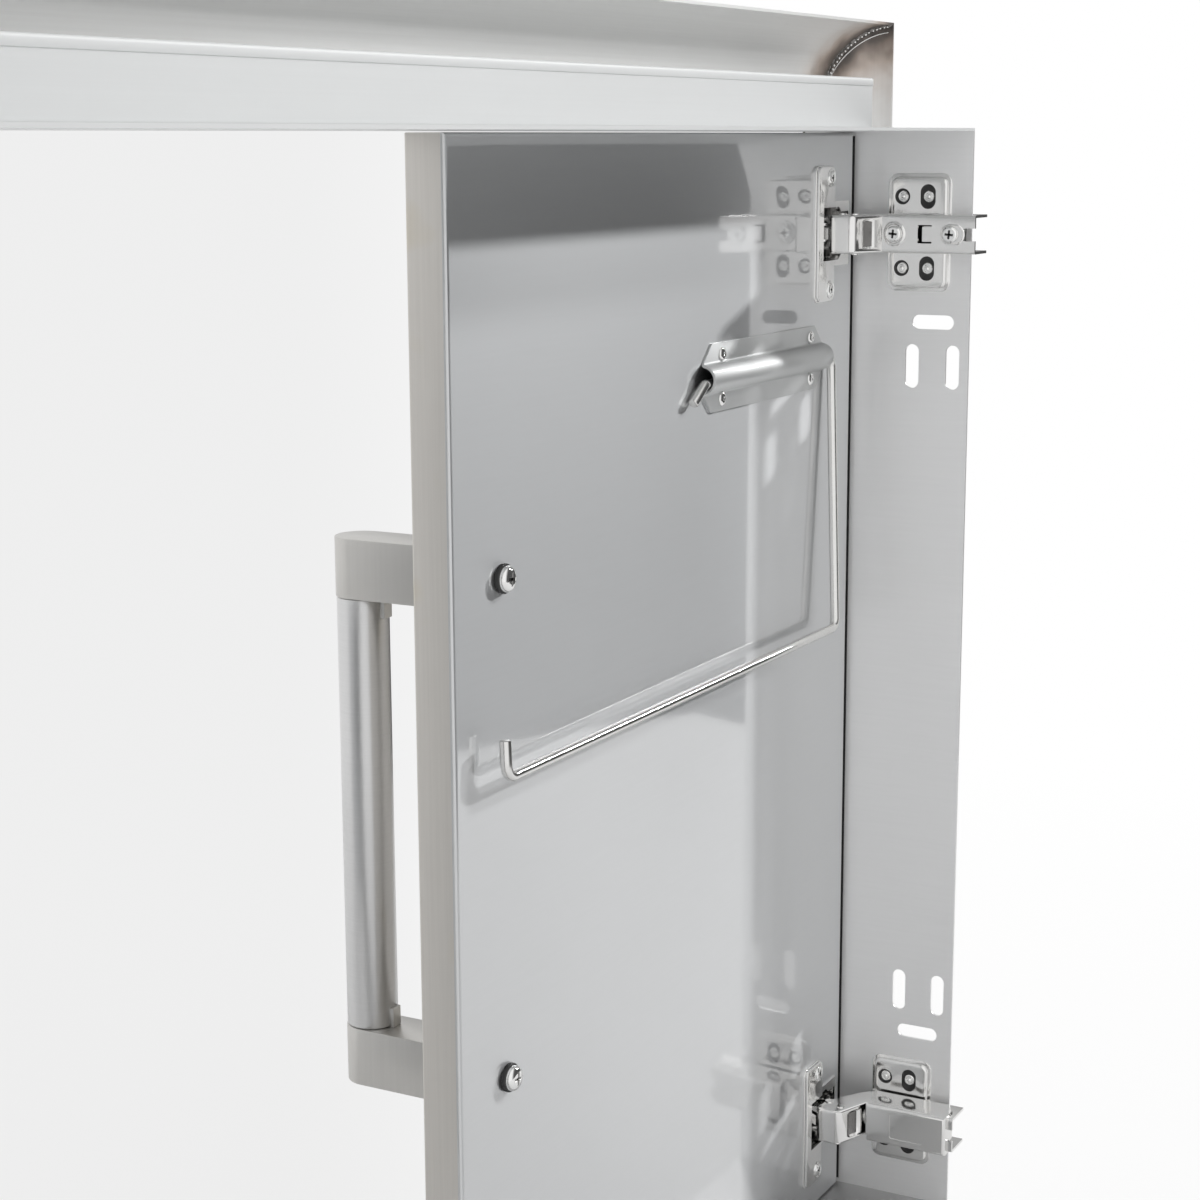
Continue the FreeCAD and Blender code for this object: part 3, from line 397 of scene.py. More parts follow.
# coat: weight, roughness and index; smear: strength and direction
sheet = dict(lines=0.05, clouds=0.05, spread=0.05, relief=0.03)
brushed = dict(lines=0.10, clouds=0.06, spread=0.07, relief=0.05)
plated = dict(stretch=(200, 200, 200), lines=0.06, clouds=0.05, spread=0.05, relief=0.015)
dark = dict(stretch=(200, 200, 200), lines=0.10, clouds=0.10, spread=0.05, relief=0.03)
looks = {
    "leafSkin": dict(sheet, colour=(0.62, 0.63, 0.64), stretch=(25, 25, 700), clouds=0.07, roughness=0.50,
                     smear=(0.8, (0, 0, 1)), coat=(1.0, 0.055, 2.6)),
    "leafEdge": dict(brushed, colour=(0.60, 0.58, 0.55), stretch=(1400, 1400, 14), lines=0.16, clouds=0.08,
                     roughness=0.42, spread=0.08),
    "sidePanel": dict(sheet, colour=(0.91, 0.91, 0.91), stretch=(25, 25, 700), clouds=0.06, roughness=0.48, spread=0.06,
                      metallic=0.7, coat=(0.4, 0.1, 1.8)),
    # the bottom liner is painted darker than the top liner, to hold down the lamps' reflection in it
    "linerFloor": dict(sheet, colour=(0.56, 0.56, 0.56), stretch=(10, 900, 900), lines=0.06, roughness=0.55, spread=0.06,
                       relief=0.04),
    "strip": dict(sheet, colour=(0.84, 0.85, 0.85), stretch=(8, 900, 900), lines=0.04, clouds=0.04, roughness=0.55,
                  metallic=0.4, smear=(0.6, (0, 0, 1))),
    "trimAcross": dict(brushed, colour=(0.96, 0.96, 0.95), stretch=(6, 800, 800), lines=0.12, roughness=0.42, spread=0.08,
                       metallic=0.2, smear=(0.8, (0, 0.3, 1))),
    "trimUpright": dict(brushed, colour=(0.96, 0.96, 0.95), stretch=(800, 800, 6), roughness=0.40, spread=0.08,
                        metallic=0.2),
    "handleBar": dict(brushed, colour=(0.56, 0.55, 0.53), stretch=(900, 900, 20), roughness=0.36),
    "handleTube": dict(brushed, colour=(0.62, 0.62, 0.62), stretch=(40, 40, 1500), lines=0.14, clouds=0.05,
                       roughness=0.30, spread=0.08, relief=0.06),
    "nickel": dict(plated, colour=(0.80, 0.795, 0.785), stretch=(120, 120, 120), clouds=0.06, roughness=0.13),
    "nickelBright": dict(plated, colour=(0.86, 0.86, 0.85), roughness=0.12),
    "rod": dict(plated, colour=(0.76, 0.755, 0.74), stretch=(300, 300, 300), roughness=0.18),
    "shade": dict(dark, colour=(0.24, 0.235, 0.23), roughness=0.22),
    # near-black: painted shade in the slit, the wells' floors and the screw recesses; the handle washers are black, and
    # this also paints in the shade round their screw heads
    "hollow": dict(dark, colour=(0.07, 0.07, 0.07), roughness=0.5),
    "hidden": dict(dark, colour=(0.35, 0.34, 0.33), roughness=0.35, spread=0.08, relief=0.04),
    "bracket": dict(sheet, colour=(0.66, 0.67, 0.67), stretch=(12, 900, 900), roughness=0.52,
                    smear=(0.5, (0, 0.2, 1)), coat=(0.4, 0.12, 1.8)),
    "bead": dict(colour=(0.26, 0.25, 0.24), stretch=(700, 700, 700), lines=0.5, clouds=0.2, roughness=0.3, spread=0.2,
                 relief=0.25),
}
metals = {name: sheetMetal(name, look) for name, look in looks.items()}
print("materials made:", len(metals))


def dress(nodeName, look):
    # a CAD node that keeps its shape gets its finish
    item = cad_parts[nodeName]
    item.data.materials.clear()
    item.data.materials.append(metals[look])


# Trim: four mitred members with a quarter-round front, and the beads in their corners

trim = dict(face=50.0, depth=24.0, round=23.4, sheet=1.2, overrun=5.0)


def trimMember(half, reach, quarterTurns):
    face, depth, bend = trim["face"], trim["depth"], trim["round"]
    end = half + face + trim["overrun"]
    bm = bmesh.new()
    start = bm.verts.new((0, -depth, face - bend))
    linked(bm, [bm.verts.new((0, -depth, 0)), start])
    tip = swung(bm, start, (0, bend - depth, face - bend), (-1, 0, 0), math.pi / 2, 20)
    linked(bm, [tip, bm.verts.new((0, 0, face))])
    bmesh.ops.translate(bm, vec=(-end, 0, reach), verts=bm.verts[:])
    drawnOut(bm, (2 * end, 0, 0))
    bm.normal_update()
    if sum(f.normal.y * f.calc_area() for f in bm.faces) > 0:
        bmesh.ops.reverse_faces(bm, faces=bm.faces[:])
    bmesh.ops.solidify(bm, geom=bm.faces[:], thickness=trim["sheet"])
    for side in (1, -1):
        cut = bmesh.ops.bisect_plane(bm, geom=bm.verts[:] + bm.edges[:] + bm.faces[:], dist=1e-4, clear_outer=True,
                                     plane_co=(side * half, 0, reach), plane_no=Vector((side, 0, -1)).normalized())
        bmesh.ops.holes_fill(bm, edges=edgesOf(cut["geom_cut"]), sides=0)
    turn = Matrix.Translation((0, 0, middleZ)) @ Matrix.Rotation(math.radians(90 * quarterTurns), 4, "Y")
    bmesh.ops.transform(bm, matrix=turn, verts=bm.verts[:])
    return bm


halfHeight = (opening["high"] - opening["low"]) / 2
for turns, label in enumerate(("top", "right", "bottom", "left")):
    upright = turns % 2 == 1
    half, reach = (halfHeight, opening["halfWidth"]) if upright else (opening["halfWidth"], halfHeight)
    finishPiece(trimMember(half, reach, turns), "trim_member_" + label, "trimUpright" if upright else "trimAcross",
                "frame", ["trim_" + label])

weld = dict(firstDegree=1, sweep=84, overlap=1.25, sway=2.3, swell=1.7, flush=0.1)


def mitreRow(pitch, radius, squash, lift=0.0, drop=0.0, wobble=0.0):
    # overlapping drops laid along the hollow of each mitre
    inner = trim["round"] - trim["sheet"]
    outX, outZ = opening["halfWidth"] + trim["face"], opening["high"] + trim["face"]
    base = Vector((outX - trim["round"], trim["round"] - trim["depth"], outZ - trim["round"]))
    bm = bmesh.new()
    count = int(inner * math.pi / 2 * weld["overlap"] / pitch)
    for i in range(count + 1):
        a = math.radians(weld["firstDegree"] + weld["sweep"] * i / count)
        inward = Vector((-math.sin(a), 2 * math.cos(a), -math.sin(a))).normalized()
        centre = base + inner * Vector((math.sin(a), -math.cos(a), math.sin(a))) + inward * lift - up * drop
        centre += across * wobble * math.sin(i * weld["sway"])
        turn = deep.rotation_difference(inward).to_matrix().to_4x4()
        size = radius * (1 + 0.2 * wobble * math.sin(i * weld["swell"]))
        bmesh.ops.create_icosphere(bm, subdivisions=2, radius=size,
                                   matrix=Matrix.Translation(centre) @ turn @ Matrix.Diagonal((1, squash, 1, 1)))
    # ground flush with the outer edges
    for v in bm.verts:
        v.co.x = min(v.co.x, outX - weld["flush"])
        v.co.z = min(v.co.z, outZ - weld["flush"])
    upside = Matrix.Translation((0, 0, 2 * middleZ)) @ Matrix.Diagonal((1, 1, -1, 1))
    return copies(bm, [Matrix(), mirrored, upside, upside @ mirrored])


finishPiece(mitreRow(1.4, 2.1, 0.42, wobble=0.3), "corner_beads", "bead", "frame", ["corner_welds"])
# bright beads on the ripples' crests, painted glints on the bead, whose own dark is its heat colour
finishPiece(mitreRow(2.4, 0.72, 0.9, lift=0.85, wobble=0.45), "bead_crest_glints", "nickelBright", "frame")
finishPiece(mitreRow(0.35, 0.42, 1.0, lift=0.1, drop=3.1), "mitre_seams", "nickelBright", "frame")
print("trim made")


# Liner and its strip

strip = dict(rear=10.3, bottom=1.2, top=23.6, foot=14.0, sheet=1.2, hem=2.4, step=0.4, bend=1.1, hemEdge=0.3)
slit = dict(into=0.2, wide=0.25, front=-1.0, back=1.9, short=2.0)


def topStrip():
    # an angle whose upright edge is folded over
    start, low, high = -opening["halfWidth"], opening["high"] + strip["bottom"], opening["high"] + strip["top"]
    rear, sheet = strip["rear"], strip["sheet"]
    foot, wall, crest = rear - strip["foot"], rear - strip["step"], high - sheet
    hem = crest - strip["hem"]
    bm = bmesh.new()
    chain = [bm.verts.new((start, y, z)) for y, z in ((foot, low), (wall, low), (wall, hem), (rear, hem), (rear, crest))]
    linked(bm, chain)
    end = swung(bm, chain[-1], (start, rear - sheet, crest), (1, 0, 0), math.pi, 10)
    inside = [bm.verts.new((start, y, low + sheet)) for y in (rear - 2 * sheet, foot)]
    linked(bm, [end, *inside, chain[0]])
    raised(bm, bmesh.ops.contextual_create(bm, geom=bm.edges[:])["faces"], (2 * opening["halfWidth"], 0, 0))
    softenWhere(bm, lambda c, d: abs(c.y - wall) < 0.01 and abs(c.z - low) < 0.01 and abs(d.x) > 0.9, strip["bend"], 4)
    softenWhere(bm, lambda c, d: abs(c.y - rear) < 0.01 and c.z < crest - 1 and abs(d.x) > 0.9, strip["hemEdge"], 3)
    return bm


def gapShades():
    # a dark sheet painted into the slit beside each leaf, as the shade at its unlit bottom
    side = -opening["halfWidth"]
    bm = shape(block, (side - slit["into"], slit["front"], opening["low"] + slit["short"]),
               (side + slit["wide"], slit["back"], opening["high"] - slit["short"]))
    return copies(bm, [Matrix(), mirrored])


finishPiece(topStrip(), "upturned_strip", "strip", "frame", ["top_strip"])
for node, look in (("liner_top", "strip"), ("liner_bottom", "linerFloor"), ("panel_left", "sidePanel"),
                   ("panel_right", "sidePanel")):
    dress(node, look)
finishPiece(gapShades(), "gap_shades", "hollow", "frame")
print("liner made")


# Mounting plates: a pressed wing on the side panel with a raised rim, wells for the screws, and a saddle

plate = dict(front=19.1, length=30.0, height=52.6, sheet=2.4, corner=4.5, rim=1.5, trayCorner=3.7, trayFoot=0.1,
             well=3.6, wellFloor=0.5, wellStretch=1.9, screwFront=7.3, screwPitch=12.1, screwRise=16.0, flange=0.7,
             shoulder=1.3)
saddle = dict(foot=0.5, front=18.6, rear=49.5, half=7.0, top=14.0, tongue=11.8, tongueRear=60.5)


def wingOutline(inset, corner, steps=5):
    y0, y1 = plate["front"] + inset, plate["front"] + plate["length"] - inset
    z1 = plate["height"] / 2 - inset
    points = []
    for cy, cz, start in ((y1 - corner, z1 - corner, 0), (y0 + corner, z1 - corner, 90),
                          (y0 + corner, corner - z1, 180), (y1 - corner, corner - z1, 270)):
        for i in range(steps + 1):
            a = math.radians(start + 90 * i / steps)
            points.append((cy + corner * math.cos(a), cz + corner * math.sin(a)))
    return points


def screwPlaces():
    # (row, centre) of each plate screw: the front row, and the rear row in its long holes
    return [(k, Vector((0, plate["front"] + plate["screwFront"] + k * plate["screwPitch"], level * plate["screwRise"])))
            for level in (1, -1) for k in range(2)]


def stretched(bm, known, way, middle, amount):
    # a round shape made long: the new vertices past its middle move by the first amount, the others by the second
    for v in bm.verts:
        if v not in known:
            v.co[way] += amount[0] if v.co[way] > middle + 0.01 else amount[1]


def wells(low, high, radius):
    # round holes in front and upright long ones behind
    bm = bmesh.new()
    for row, centre in screwPlaces():
        known = set(bm.verts)
        turned(bm, [(low, 0), (low, radius), (high, radius), (high, 0)], centre, across, 28)
        if row:
            stretched(bm, known, 2, centre.z, (plate["wellStretch"], -plate["wellStretch"]))
    return bm


def mountingPlate():
    # a thin flange, and inside it a tray pressed up with round shoulders
    flange, sheet, foot = plate["flange"], plate["sheet"], plate["trayFoot"]
    bm = shape(flat, [(0, y, z) for y, z in wingOutline(0, plate["corner"])], (flange, 0, 0))
    softenWhere(bm, lambda c, d: abs(c.x - flange) < 0.01, 0.3, 2)
    tray = shape(flat, [(foot, y, z) for y, z in wingOutline(plate["rim"], plate["trayCorner"])], (sheet - foot, 0, 0))
    softenWhere(tray, lambda c, d: abs(c.x - sheet) < 0.01, plate["shoulder"], 5)
    tray = carved(tray, wells(plate["wellFloor"], sheet + 2, plate["well"]))
    half = saddle["half"]
    seat = shape(block, (saddle["foot"], saddle["front"], -half), (saddle["top"], saddle["rear"], half))
    block(seat, (saddle["tongue"], saddle["rear"] - 0.5, -half), (saddle["top"], saddle["tongueRear"], half))
    softenSharp(seat, 0.5)
    return joined(bm, tray, seat)


def plateScrews():
    profile = [(-2.0, 0), (-2.0, 1.6), (0.6, 1.7), (0.6, 2.6), (1.5, 2.55), (1.85, 2.2), (1.8, 1.75), (1.3, 1.5),
               (1.3, 1.15), (2.1, 1.0), (2.4, 0.6), (2.45, 0)]
    return turnedAt([centre for _, centre in screwPlaces()], profile, across, 32)


def onFrame(bm, name, look, stands=(), sides=(Matrix(), mirrored), hinges=atHinges):
    # the piece at the hinges of both sides, or of one side or level
    finishPiece(copies(bm, [side @ place for side in sides for place in hinges]), name, look, "frame", stands)


onFrame(mountingPlate(), "hinge_plates", "nickel", ["mounting_plates"])
# dark discs painted at the bottoms of the wells, as the shade in them
onFrame(wells(plate["wellFloor"] - 0.05, plate["wellFloor"] + 0.25, plate["well"] - 0.02), "well_floor_shade", "hollow")
onFrame(plateScrews(), "wing_screws", "nickelBright", ["plate_screws"])
print("mounting plates made")


# Hinge arms: cranked channels with a boss and two driven screws, and the covers of the lower ones

arm = dict(half=8.5, sheet=1.2, face=19.5, foot=4.0, reach=67.0, notch=23.5, noseOut=36.6, noseFront=5.8,
           noseBack=16.5, throat=((8.6, 17.8), (17.8, 11.8), (24.8, 7.6), (27.0, 5.6)), chin=29.0, mouth=-9.0,
           bend=1.3, noseBend=2.2, screwFront=29.2, screwRear=55.5, screwTop=1.65)
armCuts = dict(slotAt=42.3, slotHalf=4.0, slotFront=1.9, slotRear=0.2, prong=3.65, prongHalf=0.4, prongFront=0.5,
               prongRear=4.6, endAt=63.0, endRear=69.0, endHalf=2.8, through=3.0)
window = dict(sink=7.85, lean=(-0.6, 0.3), halfAlong=3.4, halfUp=5.4, floor=0.6, sheet=0.5)
cover = dict(front=25.5, rear=64.6, wall=1.0, drop=7.0, rise=2.6, bend=1.6, rearWall=1.4, panelFront=37.0,
             panelRear=53.5, panelLow=2.6, panelHigh=1.4, panelDepth=0.3)


def armSlope():
    # the way out of the slope between nose and face, and the slope's middle
    out, rear, face, notch = (arm[n] for n in ("noseOut", "noseBack", "face", "notch"))
    x, y = window["lean"]
    return Vector((notch - rear, out - face, 0)).normalized(), Vector(((out + face) / 2 + x, (rear + notch) / 2 + y, 0))


def hingeArm():
    half, wall, out, front, rear, face, notch, reach, foot = (
        arm[n] for n in ("half", "sheet", "noseOut", "noseFront", "noseBack", "face", "notch", "reach", "foot"))
    cheek = [(foot, reach), (foot, notch), *arm["throat"], (arm["chin"], front), (out, front), (out, rear), (face, notch),
             (face, reach)]
    bm = shape(flat, [(x, y, -half) for x, y in cheek], (0, 0, 2 * half))
    # the bends of the channel are round, and so is the nose
    softenWhere(bm, lambda c, d: abs(abs(c.z) - half) < 0.01 and c.x > 17 and c.y > front + 1
                and not (c.x < 24 and c.y < 12), arm["bend"], 4)
    softenWhere(bm, lambda c, d: abs(d.z) > 0.9 and c.x > 33 and c.y > 10, arm["noseBend"], 5)
    channel = [(-foot, reach + 1), (-foot, arm["mouth"]), (out - wall, arm["mouth"]), (out - wall, rear - wall),
               (face - wall, notch - wall / 2), (face - wall, reach + 1)]
    bm = carved(bm, shape(flat, [(x, y, wall - half) for x, y in channel], (0, 0, 2 * (half - wall))))
    # the bracket-shaped slot, the long hole at the rear and the notch at the end
    slot, low, high = armCuts["slotAt"], face - armCuts["through"], face + armCuts["through"]
    prong, prongHalf, endAt, endHalf = (armCuts[n] for n in ("prong", "prongHalf", "endAt", "endHalf"))
    tools = shape(block, (low, slot - armCuts["slotFront"], -armCuts["slotHalf"]),
                  (high, slot + armCuts["slotRear"], armCuts["slotHalf"]))
    for side in (1, -1):
        block(tools, (low, slot - armCuts["prongFront"], side * prong - prongHalf),
              (high, slot + armCuts["prongRear"], side * prong + prongHalf))
    block(tools, (low, endAt, -endHalf), (high, armCuts["endRear"], endHalf))
    through = armCuts["through"]
    turned(tools, [(-through, 0), (-through, endHalf), (through, endHalf), (through, 0)], (face, endAt, 0), across, 20)
    # the dished window on the slope between nose and face
    slope, middle = armSlope()
    dish = [(-6.6, 0), (-6.6, 8.2), (-5.6, 8.9), (5.6, 8.9), (6.6, 8.2), (6.6, 0)]
    return carved(carved(bm, tools), shape(turned, dish, middle + slope * window["sink"], up, 40))


def armWindowShade():
    # a dark plate painted at the bottom of the dish, as the shade inside the arm's opening
    slope, middle = armSlope()
    turn = Matrix((up.cross(slope), up, slope)).transposed().to_4x4()
    along, tall = window["halfAlong"], window["halfUp"]
    bm = shape(block, (-along, -tall, -window["sheet"]), (along, tall, 0))
    bmesh.ops.transform(bm, matrix=Matrix.Translation(middle - slope * window["floor"]) @ turn, verts=bm.verts[:])
    return bm


def armBoss():
    # pressed rings round the front screw and the long seat of the rear one
    ring = [(-0.5, 0), (-0.5, 5.6), (0.1, 5.5), (0.55, 5.0), (0.6, 4.4), (0.15, 4.0), (0.1, 0)]
    seat = [(-0.5, 0), (-0.5, 4.7), (0.1, 4.6), (0.4, 4.2), (0.4, 3.9), (0.1, 3.6), (0.1, 0)]
    bm = shape(turned, ring, (arm["face"], arm["screwFront"], 0), across, 32)
    known = set(bm.verts)
    turned(bm, seat, (arm["face"], arm["screwRear"], 0), across, 32)
    stretched(bm, known, 1, arm["screwRear"], (2.2, 0))
    return bm


def armScrewPlaces(lift):
    return [Vector((arm["face"] + lift, arm[spot], 0)) for spot in ("screwFront", "screwRear")]


def armScrews():
    profile = [(-13, 0), (-13, 1.9), (0.1, 2.0), (0.1, 3.55), (0.9, 3.6), (1.3, 3.35), (1.5, 2.9), (1.65, 2.75),
               (1.65, 0)]
    return drivenScrews(profile, armScrewPlaces(0), across, arm["screwTop"], 48, (2.35, 0.55, 1.4))


def armCover():
    # snaps over the channel of a lower arm; the recessed panel on its face is bare
    half, wall, front, rear = arm["half"], cover["wall"], cover["front"], cover["rear"]
    low, high = arm["face"] - cover["drop"], arm["face"] + cover["rise"]
    bm = shape(block, (low, front, -half - wall), (high + wall, rear, half + wall))
    softenWhere(bm, lambda c, d: abs(c.x - high - wall) < 0.01 and abs(c.y - front) > 1, cover["bend"], 4)
    bm = carved(bm, shape(block, (low - 1, front - 5.5, -half), (high, rear - cover["rearWall"], half)))
    panel = shape(block, (high + wall - cover["panelDepth"], cover["panelFront"], cover["panelLow"] - half),
                  (high + wall + 1, cover["panelRear"], half - cover["panelHigh"]))
    softenWhere(panel, lambda c, d: abs(d.x) > 0.9, 1.0, 3)
    return carved(bm, panel)


for side, way in (("left", Matrix()), ("right", mirrored)):
    onFrame(hingeArm(), side + "_arms", "nickel", ["hinge_arms_" + side], [way])
onFrame(armBoss(), "arm_bosses", "nickel")
onFrame(armScrews(), "arm_driven_screws", "nickelBright", ["arm_screws"])
onFrame(crossPlugs(armScrewPlaces(arm["screwTop"]), across, 2.25, 0.5, 1.3), "arm_screw_recess_shade", "hollow")
onFrame(armWindowShade(), "arm_window_shades", "shade")
onFrame(armCover(), "lower_arm_covers", "nickel", ["arm_covers"], hinges=atHinges[1:])
dress("arm_pins", "nickelBright")
print("arms made")


# Hinge cups with their stepped flange, and the links between cup and arm

leaf = dict(front=-13.5, back=2.5, outer=-349.5, inner=-1.75, low=50.5, high=559.5, border=1.7, frontBorder=1.0,
            sheet=0.8, line=0.62, lineIn=0.98, lineShort=1.5)
cup = dict(near=9.4, far=42.0, half=12.5, depth=15.0, sheet=0.8, lip=1.8, flangeNear=28.5, flangeFar=47.0,
           flangeHalf=30.0, flangeSheet=2.2, screwOut=33.2, screwRise=24.5, neck=21.0, neckRun=2.5, neckHalf=9.6)


def mouthOutline(insetX, insetZ):
    # wide over the cup and narrow where the arm passes out
    near, far, wide = cup["near"] + insetX, cup["far"] - insetX, cup["half"] - insetZ
    narrow, neck, start = cup["neckHalf"], cup["neck"], cup["neck"] - cup["neckRun"]
    return [(near, -narrow), (start, -narrow), (neck, -wide), (far, -wide), (far, wide), (neck, wide), (start, narrow),
            (near, narrow)]


def cupMouth():
    sheet, back = cup["sheet"], leaf["back"]
    hollow = shape(block, (cup["near"] + sheet, back - cup["depth"] + sheet, sheet - cup["half"]),
                   (cup["far"] - sheet, back - 1.2, cup["half"] - sheet))
    flat(hollow, [(x, back - 1.5, z) for x, z in mouthOutline(sheet, sheet)], (0, 5.5, 0))
    return hollow


def hingeCup():
    back, near, far, half = leaf["back"], cup["near"], cup["far"], cup["half"]
    inner, outer, tall = cup["flangeNear"], cup["flangeFar"], cup["flangeHalf"]
    shells = [shape(block, (near, back - cup["depth"], -half), (far, back + 0.7, half)),
              shape(block, (near, back, -half - cup["lip"]), (far, back + 0.8, half + cup["lip"])),
              shape(block, (inner + 0.3, back + 0.9, 1.0 - tall), (outer - 1.0, back + 1.3, tall - 1.0))]
    # two layers of flange, the upper one a little smaller
    for end, side, low, high in ((outer, tall, 0.0, 1.0), (outer - 0.5, tall - 0.4, 1.15, cup["flangeSheet"])):
        layer = shape(block, (inner, back + low, -side), (end, back + high, side))
        softenWhere(layer, lambda c, d: abs(d.y) > 0.9, 3.0, 6)
        layer.normal_update()
        soften(layer, list({e for f in layer.faces if f.normal.y > 0.9 for e in f.edges}), 0.35, 3)
        shells.append(layer)
    ears = bmesh.new()
    wall, floor, step = near + 0.7, back - 14.3, -3.3
    for z in (2.9, -4.1):
        flat(ears, [(x, y, z) for x, y in ((wall, floor), (18.5, floor), (16.6, step), (14.6, -1.3), (wall, step))],
             (0, 0, 1.2))
    return joined(*[carved(shell, cupMouth()) for shell in shells], ears)


def cupScrewPlaces(lift):
    return [Vector((cup["screwOut"], leaf["back"] + lift, level * cup["screwRise"])) for level in (1, -1)]


def cupScrews():
    seat = cup["flangeSheet"]
    profile = [(-2.5, 0), (-2.5, 1.5), (seat - 0.1, 1.6), (seat - 0.1, 4.1), (seat + 0.3, 4.0), (seat + 0.35, 3.7),
               (seat + 0.08, 3.45), (seat + 0.08, 3.2), (seat + 0.5, 2.9), (seat + 0.85, 2.1), (seat + 0.9, 0)]
    return drivenScrews(profile, cupScrewPlaces(0), deep, seat + 0.9, 36, (1.9, 0.5, 0.9))


def onHinges(make):
    return lambda: copies(make(), atHinges)


onLeaves(onHinges(hingeCup), "cups", "nickel", ["hinge_cups"])
onLeaves(onHinges(cupScrews), "cup_flange_screws", "nickelBright", ["cup_screws"])
onLeaves(onHinges(lambda: crossPlugs(cupScrewPlaces(cup["flangeSheet"] + 0.9), deep, 1.8, 0.46, 0.8)),
         "cup_screw_recess_shade", "hollow")
for side in ("left", "right"):
    for part, look in (("main_links", "nickel"), ("idle_links", "nickel"), ("cup_pins", "nickelBright"),
                       ("cup_springs", "hidden"), ("stiffener", "hidden")):
        dress(f"{side}_{part}", look)
print("cups made")


# Leaf: one bright shell with a rounded border, opened where the cups go in

def leafShell(back):
    wall, past = leaf["sheet"], 5
    bm = shape(block, (leaf["outer"], leaf["front"], leaf["low"]), (leaf["inner"], leaf["back"], leaf["high"]))
    softenWhere(bm, lambda c, d: abs(c.y - leaf["back"]) < 0.01, leaf["border"], 6)
    softenWhere(bm, lambda c, d: abs(c.y - leaf["front"]) < 0.01, leaf["frontBorder"], 4)
    hollow = shape(block, (leaf["outer"] + wall, leaf["front"] + wall, leaf["low"] + wall),
                   (leaf["inner"] - wall, leaf["back"] - wall, leaf["high"] - wall))
    for level in hingeLevels:
        outline = [(x - opening["halfWidth"], leaf["back"] - 2, level + z) for x, z in mouthOutline(0.2, 0.4)]
        flat(hollow, outline, (0, 4, 0))
    bm = carved(bm, hollow)
    # the skin is the back of the shell with its rounded border, the pan is the rest
    seam = leaf["back"] - leaf["border"] - 0.05
    near, far = (leaf["front"] - past, seam) if back else (seam, leaf["back"] + past)
    return carved(bm, shape(block, (leaf["outer"] - past, near, leaf["low"] - past),
                            (leaf["inner"] + past, far, leaf["high"] + past)))


def foldHighlight():
    # a bright rod painted along the fold between the skin and the free edge, as the fold's highlight
    inset, short, radius = leaf["lineIn"], leaf["lineShort"], leaf["line"]
    length = leaf["high"] - leaf["low"] - 2 * short
    return shape(turned, [(0, 0), (0, radius), (length, radius), (length, 0)],
                 (leaf["inner"] - inset, leaf["back"] - inset, leaf["low"] + short), up, 20)


onLeaves(lambda: leafShell(True), "bright_skin", "leafSkin", ["inner_skin"])
onLeaves(lambda: leafShell(False), "folded_pan", "leafEdge", ["outer_pan"])
onLeaves(foldHighlight, "fold_highlight", "strip")
print("leaves made")


# Handles: D-ended posts, the tube between them with a tab at each end, screws and washers

handle = dict(x=-34.45, posts=(406.4, 221.4), postHeight=22.0, postHalf=9.75, postEdge=0.35, axis=-56.2, tube=9.5,
              wall=1.2, tabHeight=7.5, tabHalf=2.5, tabIn=1.0, tabOut=1.4, tabEdge=0.3, washer=1.8, screwHead=2.7)
tubeHigh, tubeLow = (level + side * handle["postHeight"] / 2 for level, side in zip(handle["posts"], (-1, 1)))


def handlePosts():
    # each a half circle in front, square where it meets the leaf
    x, half, axis = handle["x"], handle["postHalf"], handle["axis"]
    steps = 24
    arc = [math.pi * (1 + i / steps) for i in range(steps + 1)]
    plan = [(x + half * math.cos(a), axis + half * math.sin(a)) for a in arc]
    plan += [(x + half, leaf["front"]), (x - half, leaf["front"])]
    bm = bmesh.new()
    for level in handle["posts"]:
        flat(bm, [(px, py, level - handle["postHeight"] / 2) for px, py in plan], (0, 0, handle["postHeight"]))
    bm.normal_update()
    softenSharp(bm, handle["postEdge"])
    return bm


def handleTube():
    outer, inner, length = handle["tube"], handle["tube"] - handle["wall"], tubeHigh - tubeLow
    rim = 0.25
    profile = [(rim, inner), (0.0, inner + 0.3), (rim, outer - rim), (0.6, outer), (length - 0.6, outer),
               (length - rim, outer - rim), (length, inner + 0.3), (length - rim, inner), (rim, inner)]
    return shape(turned, profile, (handle["x"], handle["axis"], tubeLow), up, 64)


def tubeTabs():
    # small stops on the door side of the tube, against each post
    x, half, face, tall = handle["x"], handle["tabHalf"], handle["axis"] + handle["tube"], handle["tabHeight"]
    bm = bmesh.new()
    for start in (tubeLow, tubeHigh - tall):
        block(bm, (x - half, face - handle["tabIn"], start), (x + half, face + handle["tabOut"], start + tall))
    softenSharp(bm, handle["tabEdge"])
    return bm


def postPlaces(lift=0.0):
    return [Vector((handle["x"], leaf["back"] + lift, level)) for level in handle["posts"]]


def handleScrews():
    seat, head = handle["washer"], handle["washer"] + handle["screwHead"]
    profile = [(-20, 0), (-20, 2.3), (seat, 2.5), (seat, 4.75), (seat + 1.0, 4.75), (seat + 1.8, 4.3), (seat + 2.4, 3.3),
               (seat + 2.68, 2.0), (head, 0)]
    return drivenScrews(profile, postPlaces(), deep, head, 32, (3.0, 0.62, 1.7))


def handleWashers():
    seat = handle["washer"]
    profile = [(0, 2.6), (0, 5.2), (0.3, 5.4), (seat - 0.3, 5.4), (seat, 5.1), (seat, 2.6), (0, 2.6)]
    return turnedAt(postPlaces(), profile, deep, 32)


